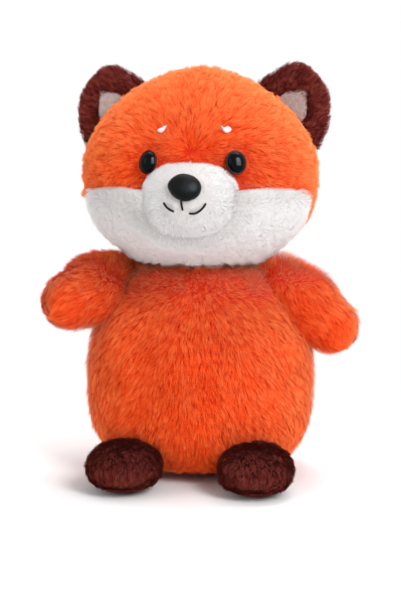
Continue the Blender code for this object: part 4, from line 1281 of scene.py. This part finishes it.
# %% Head panels
head_panels = (
    ("face_white", (-FACE_SIDE_TURN, FACE_SIDE_TURN), 60, 36, 0.0, cheek_row, cheek_nap, 60000, "white_plush",
     "face_panel"),
    ("crown", (-EAR_SEAM_TURN, EAR_SEAM_TURN), 80, 48, cheek_row, 1.0, crown_nap, 63000, "orange_plush",
     "crown_panel"),
    ("cheek_left", (FACE_SIDE_TURN, EAR_SEAM_TURN), 12, 36, 0.0, cheek_row, cheek_nap, 7000, "orange_plush",
     "cheek_gusset_left"),
    ("cheek_right", (-EAR_SEAM_TURN, -FACE_SIDE_TURN), 12, 36, 0.0, cheek_row, cheek_nap, 7000, "orange_plush",
     "cheek_gusset_right"),
    ("head_back", (EAR_SEAM_TURN, 2 * pi - EAR_SEAM_TURN), 60, 60, 0.0, 1.0, back_nap, 52000, "orange_plush",
     "head_back_panel"),
)
for seed, (name, turns, columns, rows, low, high, nap, blades, finish, node) in enumerate(head_panels, 21):
    panel(
        name, HEAD, turns, columns, rows, nap, soft_pile if finish == "white_plush" else long_pile, blades, finish,
        "head", [node], seed, trim=gusset_trim if "cheek" in name else head_trim, lift=head_lift, low=low, high=high,
        facing=face_facing, depth=head_depth, hollows=[cup(NECK, NECK_SOCKET, (0, 0, 1)), snout_fillet],
    )

# %% Snout
snout_pile = Pile(
    6.4 * MM, width=0.27 * MM, rises=(radians(10), radians(50)), tuft_size=2.4 * MM, tuft_pull=0.35, unevenness=0.2,
    softness=0.92,
)


def swelling(middle, radius, height):
    """A soft bump that stands forward from a sheet."""
    def raised(points):
        distance = np.linalg.norm(points - np.array(middle), axis=-1, keepdims=True)
        return points + np.array((0, -height, 0)) * bell(distance, 0, radius)

    return raised


lips = [swelling(on_snout(x * MM, y * MM), 3.2 * MM, 1.5 * MM) for x, y in LIPS_MM]


def snout_rim(points):
    """How near a point of the snout is to the seam that it is sewn on by."""
    return smooth((np.linalg.norm(points - np.array(nose_seat), axis=1) - 15 * MM) / (9 * MM))


def snout_facing(points, normals):
    """Toward the rim, the light meets the snout's pile as it meets the face's, so that no edge shows."""
    return toward_front(normals, 0.85 * snout_rim(points))


panel(
    "snout_white", MUZZLE, (0, 2 * pi), 64, 26, away_from(nose_seat, (0, 0.3, 0)), snout_pile, 36000,
    "white_plush", "head", ["muzzle_panel"], 31, trim=snout_trim, lift=lambda p: 0.8 * snout_rim(p),
    facing=snout_facing, low=0.44, depth=SHORT_DEPTH, hollows=lips,
)

# %% [markdown]
# ## Ears, arms, feet and tail
# The limbs are closed covers. Brown plush is a shorter, curlier pile, so its blades scatter more and gather in
# small tufts with dark gaps between them. An ear has a thick rolled rim round a sunk lining of shorn velvet.

# %% Ears
curly = Pile(
    5.6 * MM, width=0.34 * MM, rises=(radians(16), radians(86)), scatter=0.45, swirl_size=7 * MM, swirl=0.5,
    tuft_size=2.4 * MM, tuft_pull=1.5, strays=0.45, softness=0.68,
)
velvet = Pile(
    2.8 * MM, width=0.28 * MM, rises=(radians(35), radians(80)), scatter=0.5, tuft_size=1.6 * MM, tuft_pull=0.4,
    unevenness=0.3,
)
LINING_TURNS = (radians(-29), radians(20))
LINING_ROWS = (0.21, 0.47, 0.68)  # low edge, high edge at the sides and in the middle
WINDOW_ROW = 0.42  # of the middle of the lining, round which the cover's pile is short
EAR_DENT = 2.0 * MM


def lining_top(angle):
    """The row of the lining's upper edge, which peaks in its middle like the ear."""
    middle = sum(LINING_TURNS) / 2
    aside = np.abs(angle - middle) / (LINING_TURNS[1] - middle)
    return LINING_ROWS[2] - (LINING_ROWS[2] - LINING_ROWS[1]) * np.clip(aside, 0, 1)


def ear_front(side):
    """The turn at which an ear faces forward."""
    return 0.0 if side == 1 else pi


def ear_depth(side):
    """How deep an ear's backing lies, which is deeper in the window that its lining fills."""
    def depth(turn, row):
        angle = side * ((turn - ear_front(side) + pi) % (2 * pi) - pi)
        wide = smooth((angle - LINING_TURNS[0]) / radians(10) + 0.6)
        wide = wide * smooth((LINING_TURNS[1] - angle) / radians(10) + 0.6)
        high = smooth((row - LINING_ROWS[0]) / 0.05 + 0.6) * smooth((lining_top(angle) - row) / 0.05 + 0.6)
        return SHORT_DEPTH + EAR_DENT * (wide * high)

    return depth


for name, side in SIDES:
    form = EARS[name]
    front = ear_front(side)
    window_middle = surface(form, front + side * sum(LINING_TURNS) / 2, WINDOW_ROW)

    panel(
        "ear_" + name, form, (0, 2 * pi), 64, 48, along_limb(form), curly, 22000, "brown_plush", name + "_ear",
        ["ear_cover_" + name], 40 + side, trim=lambda p, m=window_middle: near(p, m, 6.4 * MM, 0.1),
        low=0.06, depth=ear_depth(side),
    )
    turns = sorted(front + side * turn for turn in LINING_TURNS)
    panel(
        "ear_lining_" + name, form, turns, 20, 16, along_limb(form), velvet, 6000, "ear_lining", name + "_ear",
        ["ear_lining_" + name], 43 + side, low=LINING_ROWS[0],
        high=lambda turn, front=front, side=side: lining_top(side * (turn - front)),
        depth=SHORT_DEPTH + EAR_DENT - 0.4 * MM,
    )

# %% Arms
arm_pile = Pile(8.4 * MM, swirl=0.4, painted_light=0.3)


def root_trim(form, start, span, top=0.0):
    """Hardly any pile on the part of a limb that sits in its cup, but more on top of a shoulder."""
    origin, axis = limb_line(form)

    def trim(points):
        arm = points - origin
        above = top * smooth((arm[:, 2] - 4 * MM) / (5 * MM))
        return np.maximum(0.15 + 0.85 * smooth((arm @ axis - start) / span), above)

    return trim


def shoulder_lift(form):
    """The pile stands up on top of the shoulder, where the head parts it."""
    origin, axis = limb_line(form)

    def lift(points):
        arm = points - origin
        return 0.9 * smooth((arm[:, 2] + 2 * MM) / (10 * MM)) * smooth((36 * MM - arm @ axis) / (34 * MM))

    return lift


for name, side in SIDES:
    form = ARMS[name]
    panel(
        "arm_" + name, form, (0, 2 * pi), 48, 44, along_limb(form, 0.25 * side), arm_pile, 29000, "orange_plush",
        name + "_arm", ["arm_cover_" + name], 50 + side, low=0.05,
        trim=root_trim(form, -8 * MM, 7 * MM, 1.15), lift=shoulder_lift(form),
        depth=lambda turn, row: PILE_DEPTH - 2.0 * MM * smooth((0.55 - row) / 0.3),
    )

# %% Feet
foot_seam = row_at_height(SOLE_HEIGHT / FOOT_HALF_HEIGHT - 1, *FOOT_FULLNESS)
sole_pile = Pile(2.4 * MM, rises=(radians(2), radians(12)), roll=radians(8), tuft_pull=0.5)
for name, side in SIDES:
    form = FEET[name]
    heel = form.place.translation + Vector((0, FOOT_HALF_LENGTH, FOOT_HALF_HEIGHT))
    panel(
        "foot_" + name, form, (0, 2 * pi), 48, 30, away_from(heel), curly, 22000, "brown_plush", name + "_foot",
        ["foot_upper_" + name], 60 + side, low=foot_seam, depth=SHORT_DEPTH,
        lowest=FLOOR_CLEARANCE,
    )
    panel(
        "sole_" + name, form, (0, 2 * pi), 48, 12, away_from(heel), sole_pile, 6000, "brown_plush",
        name + "_foot", ["foot_sole_" + name], 63 + side, high=foot_seam, depth=0.9 * MM,
        lowest=0.6 * MM,
    )

# %% Tail
tail_seam = 0.66
for name, low, high, blades, finish, node, seed in (
    ("tail_orange", 0.05, tail_seam, 17000, "orange_plush", "tail_cover", 70),
    ("tail_white", tail_seam, 1.0, 9000, "white_plush", "tail_tip", 71),
):
    panel(
        name, TAIL, (0, 2 * pi), 36, 30, along_limb(TAIL, 0.2), long_pile, blades, finish, "tail", [node], seed,
        trim=root_trim(TAIL, -3 * MM, 5 * MM), low=low, high=high,
    )

# %% [markdown]
# ## Nose, eyes and brows
# These are small parts that are turned or padded: each is a stack of loops. The eye is a glossy bead in a brown
# rim, on a stem that goes through the fabric. The nose is satin stretched over a pad, and the brows are satin
# patches. Their outlines are drawn and closed with a smooth curve.


# %% Loops and stacks
def oval(half_width, half_height, count=48):
    angle = np.linspace(0, 2 * pi, count, endpoint=False)
    return np.stack([half_width * np.cos(angle), half_height * np.sin(angle)], -1)


def skin(shape, rings):
    """Faces between each ring of corners and the next."""
    for low, high in zip(rings, rings[1:]):
        for i in range(len(low)):
            j = (i + 1) % len(low)
            shape.faces.new((low[i], low[j], high[j], high[i]))


def stack(name, place, loops, material, looped=False):
    """A closed mesh over loops, each an outline and its height along the place's third axis."""
    shape = bmesh.new()
    rings = [[shape.verts.new(place @ Vector((x, y, along))) for x, y in outline] for outline, along in loops]
    if looped:
        skin(shape, rings + rings[:1])
    else:
        skin(shape, rings)
        shape.faces.new(rings[0])
        shape.faces.new(rings[-1])
    made = as_object(name, merged(shape, 0.005 * MM))
    made.data.materials.append(material)
    made.data.set_sharp_from_angle(angle=radians(50))
    return made


def dome(outline, rise, rings=12, fullness=2.0, start=0.0):
    """Loops of an outline that shrink to a point as they rise."""
    angles = [pi / 2 * k / rings for k in range(rings)]
    loops = [(outline * cos(a) ** (2 / fullness), start + rise * sin(a) ** (2 / fullness)) for a in angles]
    return [*loops, (outline * 0.0, start + rise)]


# %% Eyes
BEAD_HALF_WIDTH = 4.65 * MM
BEAD_HALF_HEIGHT = 5.45 * MM
BEAD_BULGE = 3.7 * MM
BEAD_BACK = -0.3 * MM
STEM_RADIUS = 1.9 * MM
STEM_LENGTH = 9.5 * MM
RIM = 0.55 * MM  # the radius of the rim's section
RIM_STEPS = 10
EYE_CANTS = {"left": radians(0), "right": radians(-14)}  # the right one is sewn in a little askew
EYE_TILTS = {"left": radians(9), "right": radians(-12)}
for name, side in SIDES:
    direction = outward(HEAD, eye_turns[name], EYE_ROW)
    direction.rotate(Matrix.Rotation(EYE_CANTS[name], 3, "Z"))
    seat = facing(eyes[name] + direction * 0.4 * MM, direction) @ Matrix.Rotation(EYE_TILTS[name], 4, "Z")
    stem = oval(STEM_RADIUS, STEM_RADIUS)
    bead = oval(BEAD_HALF_WIDTH, BEAD_HALF_HEIGHT)
    loops = [(stem * 0, -STEM_LENGTH), (stem, -STEM_LENGTH), (stem, BEAD_BACK), (bead, BEAD_BACK)]
    loops += dome(bead, BEAD_BULGE, 16)
    placed(stack("eye_bead_" + name, seat, loops, EYE_BLACK), "head", ["eye_" + name])
    loops = []
    for angle in np.arange(RIM_STEPS) * 2 * pi / RIM_STEPS:
        wide = RIM * cos(angle)
        loops.append((oval(BEAD_HALF_WIDTH + wide, BEAD_HALF_HEIGHT + wide), 0.45 * MM + RIM * sin(angle)))
    placed(stack("eye_rim_" + name, seat, loops, EYE_RIM, looped=True), "head", ["eye_" + name])
    washer = frame["nodes"]["eye_washer_" + name]
    washer.data.materials.clear()
    washer.data.materials.append(WASHER)

# %% Nose
NOSE_OUTLINE_MM = (
    (-2.6, 7.2), (-6.8, 5.2), (-9.1, 1.7), (-7.8, -2.0), (-5.1, -4.8), (-0.9, -6.4), (3.3, -5.6), (6.3, -3.2),
    (7.3, 0.6), (5.9, 4.0), (2.5, 6.4),
)
direction = Vector((0, -cos(NOSE_RISE), sin(NOSE_RISE)))
nose_place = facing(nose_seat - direction * 2.2 * MM, direction)
outline = closed_curve(NOSE_OUTLINE_MM, 64) * MM
loops = [(outline * 0, 0.0), (outline * 0.8, 0.0), (outline * 0.95, 0.5 * MM)]
loops += dome(outline, 5.6 * MM, 14, 2.3, 1.2 * MM)
placed(stack("nose_pad", nose_place, loops, NOSE_SATIN), "head", ["nose"])

# %% Brows
BROW_OUTLINES_MM = {
    "left": (
        (-3.0, 2.1), (-1.8, 1.2), (-0.6, 1.0), (0.9, 1.9), (2.0, 1.4), (3.0, 0.1), (2.5, -1.2), (0.6, -2.2),
        (-1.2, -1.8), (-2.2, -0.2),
    ),
    "right": (
        (-2.5, -0.7), (-1.9, -1.9), (0.0, -2.2), (1.4, -1.0), (2.2, 0.6), (2.5, 2.2), (1.3, 1.7), (0.2, 0.8),
        (-1.2, 0.3),
    ),
}
for name, side in SIDES:
    direction = outward(HEAD, brow_turns[name], BROW_ROW)
    seat = facing(brows[name] - direction * 0.1 * MM, direction)
    outline = (closed_curve(BROW_OUTLINES_MM[name], 48) * 0.86 + (0.9 if side == 1 else 0, 0)) * MM
    loops = [(outline * 0, -0.5 * MM), (outline * 0.9, -0.5 * MM), *dome(outline, 1.0 * MM, 8, 2.6)]
    brow = stack("brow_" + name + "_pad", seat, loops, BROW_SATIN)
    placed(brow, "head", ["brow_" + name])

# %% [markdown]
# ## The stitched mouth
# The mouth is embroidered: short stitches laid end to end and a little askew. A second tree walks a line, sets a
# stitch every millimetre and turns it along the line.


# %% The stitch tree and the mouth
def stitch_tree():
    tree, inputs = new_tree("stitched line", (
        ("Stitch spacing", "Float"), ("Stitch length", "Float"), ("Thread radius", "Float"), ("Skew", "Float"),
        ("Seed", "Int"), ("Material", "Material"),
    ))
    line = out(add(tree, "GeometryNodeMeshToCurve", {"Mesh": inputs["Geometry"]}))
    steps = out(add(tree, "GeometryNodeCurveLength", {"Curve": line})) / inputs["Stitch spacing"]
    walked = out(add(tree, "GeometryNodeResampleCurve", {"Curve": line, "Count": steps + 1.0}))
    skew = random_between(tree, inputs["Skew"] * -1.0, inputs["Skew"], inputs["Seed"])
    turn = laid_along(tree, out(add(tree, "GeometryNodeInputTangent")), (0, -1, 0), "ZY", skew)
    ball = out(add(tree, "GeometryNodeMeshUVSphere", {"Segments": 8, "Rings": 5, "Radius": 1.0}))
    radius = inputs["Thread radius"]
    stitches = copies(tree, walked, ball, turn, joined(tree, radius, radius, inputs["Stitch length"] * 0.5))
    rounded = out(add(tree, "GeometryNodeSetShadeSmooth", {"Geometry": stitches}))
    return finished(tree, rounded, inputs["Material"])


threads = bmesh.new()
for line in MOUTH_MM:
    spots = curve_at(line, np.linspace(0, 1, 16))
    verts = [threads.verts.new(on_snout(x * MM, y * MM, -0.1 * MM)) for x, y in zip(*spots)]
    for a, b in zip(verts, verts[1:]):
        threads.edges.new((a, b))
mouth_object = as_object("mouth_stitches", threads)
run_tree(mouth_object, stitch_tree(), {
    "Stitch spacing": 0.75 * MM, "Stitch length": 1.8 * MM, "Thread radius": 0.58 * MM, "Skew": radians(16),
    "Seed": 5, "Material": THREAD,
})
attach(mouth_object, "head")
print("mouth:", len(mouth_object.data.polygons), "faces")

# %% [markdown]
# ## What is inside
# Polyester fibre fills every body, and a small bag of pellets in the base keeps the toy upright. Each filling is
# a soft lump a little smaller than its cover, hollowed where a root, a stem or the bag presses into it.


# %% Fillings
STUFFING_TURNS, STUFFING_ROWS = 56, 40
LUMP_PITCH = (610, 540, 580)  # radians per metre along X, Y and Z
LUMP_SHIFT = (1.3, 0.4, 0)


def lumps(points, depth):
    """A soft, uneven surface, pressed in by up to a depth."""
    wave = np.sin(points * LUMP_PITCH + LUMP_SHIFT).prod(-1)
    return depth * (0.5 + 0.5 * wave)


def stuffing(name, form, inset, body, node, low=0.0, hollows=()):
    """A closed lump of fibre under a form's surface, cut level at its low row."""
    turn = np.linspace(0, 2 * pi, STUFFING_TURNS, endpoint=False)
    row = np.linspace(low, 1.0, STUFFING_ROWS + 1)[:, None]
    points = surface(form, turn, row, inset + lumps(surface(form, turn, row, inset), 0.6 * MM))
    for hollow in hollows:
        points = hollow(points)
    shape = bmesh.new()
    rings = [[shape.verts.new(p) for p in ring] for ring in points]
    skin(shape, rings)
    if low > 0:
        shape.faces.new(rings[0])
    made = as_object(name, merged(shape, 0.01 * MM))
    made.data.materials.append(FIBRE)
    return placed(made, body, [node])


FILLING_DEPTH = 3.6 * MM
BAG_HOLLOW = 29.5 * MM
EAR_ROOM = 15.4 * MM
EYE_ROOM = 6.6 * MM
EYE_ROOM_LENGTH = 8.5 * MM


def bag_hollow(points):
    """The points where the pellet bag lies, moved straight away from the middle of the base."""
    size = (np.abs(points / BAG_HOLLOW) ** 3).sum(-1, keepdims=True) ** (1 / 3)
    return np.where(size < 1, points / np.maximum(size, LEAST_SIZE), points)


def outside_head(points):
    """Keeps the snout's filling in front of the head, so that both lie side by side."""
    across = np.abs((points[..., 0] - HEAD_MIDDLE.x) / HEAD_HALF_WIDTH) ** HEAD_SQUARENESS
    up = np.abs((points[..., 2] - HEAD_MIDDLE.z) / HEAD_HALF_HEIGHT) ** HEAD_SQUARENESS
    front = HEAD_MIDDLE.y - HEAD_HALF_DEPTH * np.maximum(1 - across - up, 0) ** (1 / HEAD_SQUARENESS) - 0.6 * MM
    kept = points.copy()
    kept[..., 1] = np.minimum(points[..., 1], front)
    return kept


head_inside = [cup(NECK, NECK_SOCKET, (0, 0, 1))]
for name, side in SIDES:
    beyond = EARS[name].place.to_3x3() @ Vector((0, 0, 8 * MM))
    root = [point_on(HEAD, side * EAR_SEAM_TURN, head_row(height)) + beyond for height in EAR_ROOT_HEIGHTS]
    stem = outward(HEAD, eye_turns[name], EYE_ROW) * EYE_ROOM_LENGTH
    head_inside += [tube(*root, EAR_ROOM), tube(eyes[name], eyes[name] - stem, EYE_ROOM)]
stuffing("torso_stuffing", TORSO, FILLING_DEPTH, "torso", "torso_filling", hollows=[bag_hollow, *torso_hollows])
stuffing("head_stuffing", HEAD, FILLING_DEPTH, "head", "head_filling", hollows=head_inside)
stuffing("snout_stuffing", MUZZLE, FILLING_DEPTH, "head", "muzzle_filling", low=0.5, hollows=[outside_head])
for name, side in SIDES:
    stuffing("ear_pad_" + name, EARS[name], 4.4 * MM, name + "_ear", "ear_filling_" + name, low=0.1)
    stuffing("arm_stuffing_" + name, ARMS[name], FILLING_DEPTH, name + "_arm", "arm_filling_" + name, low=0.06)
    stuffing("foot_stuffing_" + name, FEET[name], FILLING_DEPTH, name + "_foot", "foot_filling_" + name)
stuffing("tail_stuffing", TAIL, FILLING_DEPTH, "tail", "tail_filling", low=0.06)


# %% Pellet bag
PLEATS = 14
BAG_MIDDLE = 15.4 * MM


def pleated(turn, row):
    """The cloth lies in pleats where the bag is gathered at its top."""
    return 0.4 * MM + 0.5 * MM * (1 + np.cos(PLEATS * turn)) * smooth((row - 0.6) / 0.3)


bag_form = Form(Matrix.Translation((0, 0, BAG_MIDDLE)), rounded_profile(26 * MM, 26 * MM, 12 * MM, 3.0, 2.3), 2)
bag = as_object("pellet_bag_cloth", sheet(bag_form, (0, 2 * pi), 84, 0.0, 1.0, 40, pleated))
bag.data.materials.append(BAG_CLOTH)
placed(bag, "torso", ["pellet_bag"])

# %% [markdown]
# ## Stage, light and camera
# A pale floor with a soft key from the fox's left, a weaker fill from its right and an even white surround.


# %% Floor and background
FADE_START = 0.09  # metres from the toy's middle, on the floor
FADE_END = 0.26
SURROUND = 0.56  # light of the even white room on the toy


def seen(tree):
    """One for rays that come from the camera, by gloss or glass too, and nought for those that light the toy."""
    rays = add(tree, "ShaderNodeLightPath")
    direct = math(tree, "MAXIMUM", out(rays, "Is Camera Ray"), out(rays, "Is Glossy Ray"))
    return math(tree, "MAXIMUM", direct, out(rays, "Is Transmission Ray"))


def floor_material():
    """White that takes the shadow near the toy, and fades to plain white further off."""
    made, tree, shader = new_material("studio_floor")
    set_inputs(tree, shader, {"Base Color": linear(250, 250, 250), "Roughness": 0.9, "Specular IOR Level": 0.1})
    glow = add(tree, "ShaderNodeEmission", {"Color": (1, 1, 1, 1), "Strength": 1.0})
    distance = vector_math(tree, "LENGTH", out(add(tree, "ShaderNodeTexCoord"), "Object"))
    share = out(add(
        tree, "ShaderNodeMapRange", {"Value": distance, "From Min": FADE_START, "From Max": FADE_END},
        interpolation_type="SMOOTHSTEP",
    ))
    mix = add(tree, "ShaderNodeMixShader", {0: share * seen(tree), 1: out(shader), 2: out(glow)})
    set_inputs(tree, tree.nodes["Material Output"], {"Surface": out(mix)})
    return made


floor_shape = bmesh.new()
bmesh.ops.create_grid(floor_shape, x_segments=8, y_segments=8, size=3.0)
floor = as_object("floor", floor_shape)
floor.data.materials.append(floor_material())

world = bpy.context.scene.world or bpy.data.worlds.new("studio")
bpy.context.scene.world = world
world.use_nodes = True
room = world.node_tree
set_inputs(room, room.nodes["Background"], {
    "Color": (1, 1, 1, 1), "Strength": SURROUND + seen(room) * (1 - SURROUND),
})


# %% Lamps
def aimed(made, place, direction):
    """Sets a lamp or the camera down at a place, looking in a direction."""
    made.location = place
    made.rotation_mode = "QUATERNION"
    made.rotation_quaternion = direction.to_track_quat("-Z", "Y")
    bpy.context.scene.collection.objects.link(made)
    return made


def lamp(name, place, aim, size, power_w, colour=(1, 1, 1)):
    light = bpy.data.lights.new(name, "AREA")
    light.shape = "RECTANGLE"
    light.size, light.size_y = size
    light.energy = power_w
    light.color = colour
    return aimed(bpy.data.objects.new(name, light), place, Vector(aim) - Vector(place))


TOY_MIDDLE = (0, 0, 0.10)
lamp("key", (0.65, -0.75, 0.75), TOY_MIDDLE, (0.4, 0.6), 9.5)
lamp("fill", (-0.8, -0.6, 0.45), TOY_MIDDLE, (0.5, 0.6), 1.6)
lamp("top", (0.1, 0.25, 1.0), TOY_MIDDLE, (0.8, 0.6), 7.0)
glint = lamp("glint", (0.38, -0.46, 0.34), (0, -0.05, 0.17), (0.50, 0.60), 18.0, (0.72, 0.85, 1.0))
glint.visible_diffuse = False

# %% Camera
CAMERA_TARGET = Vector((0, 0, 90.4 * MM))
CAMERA_DISTANCE = 745 * MM
CAMERA_AZIMUTH = radians(6)
CAMERA_ELEVATION = radians(8)
PHOTO_HEIGHT_PX = 601
FOCAL_PX = 1400
SENSOR_MM = 36
back = Vector((
    sin(CAMERA_AZIMUTH) * cos(CAMERA_ELEVATION), -cos(CAMERA_AZIMUTH) * cos(CAMERA_ELEVATION),
    sin(CAMERA_ELEVATION),
))
camera = aimed(
    bpy.data.objects.new("camera", bpy.data.cameras.new("camera")), CAMERA_TARGET + back * CAMERA_DISTANCE, -back,
)
camera.data.sensor_width = SENSOR_MM
camera.data.lens = SENSOR_MM * FOCAL_PX / PHOTO_HEIGHT_PX
bpy.context.scene.camera = camera
bpy.context.scene.view_settings.view_transform = "Standard"
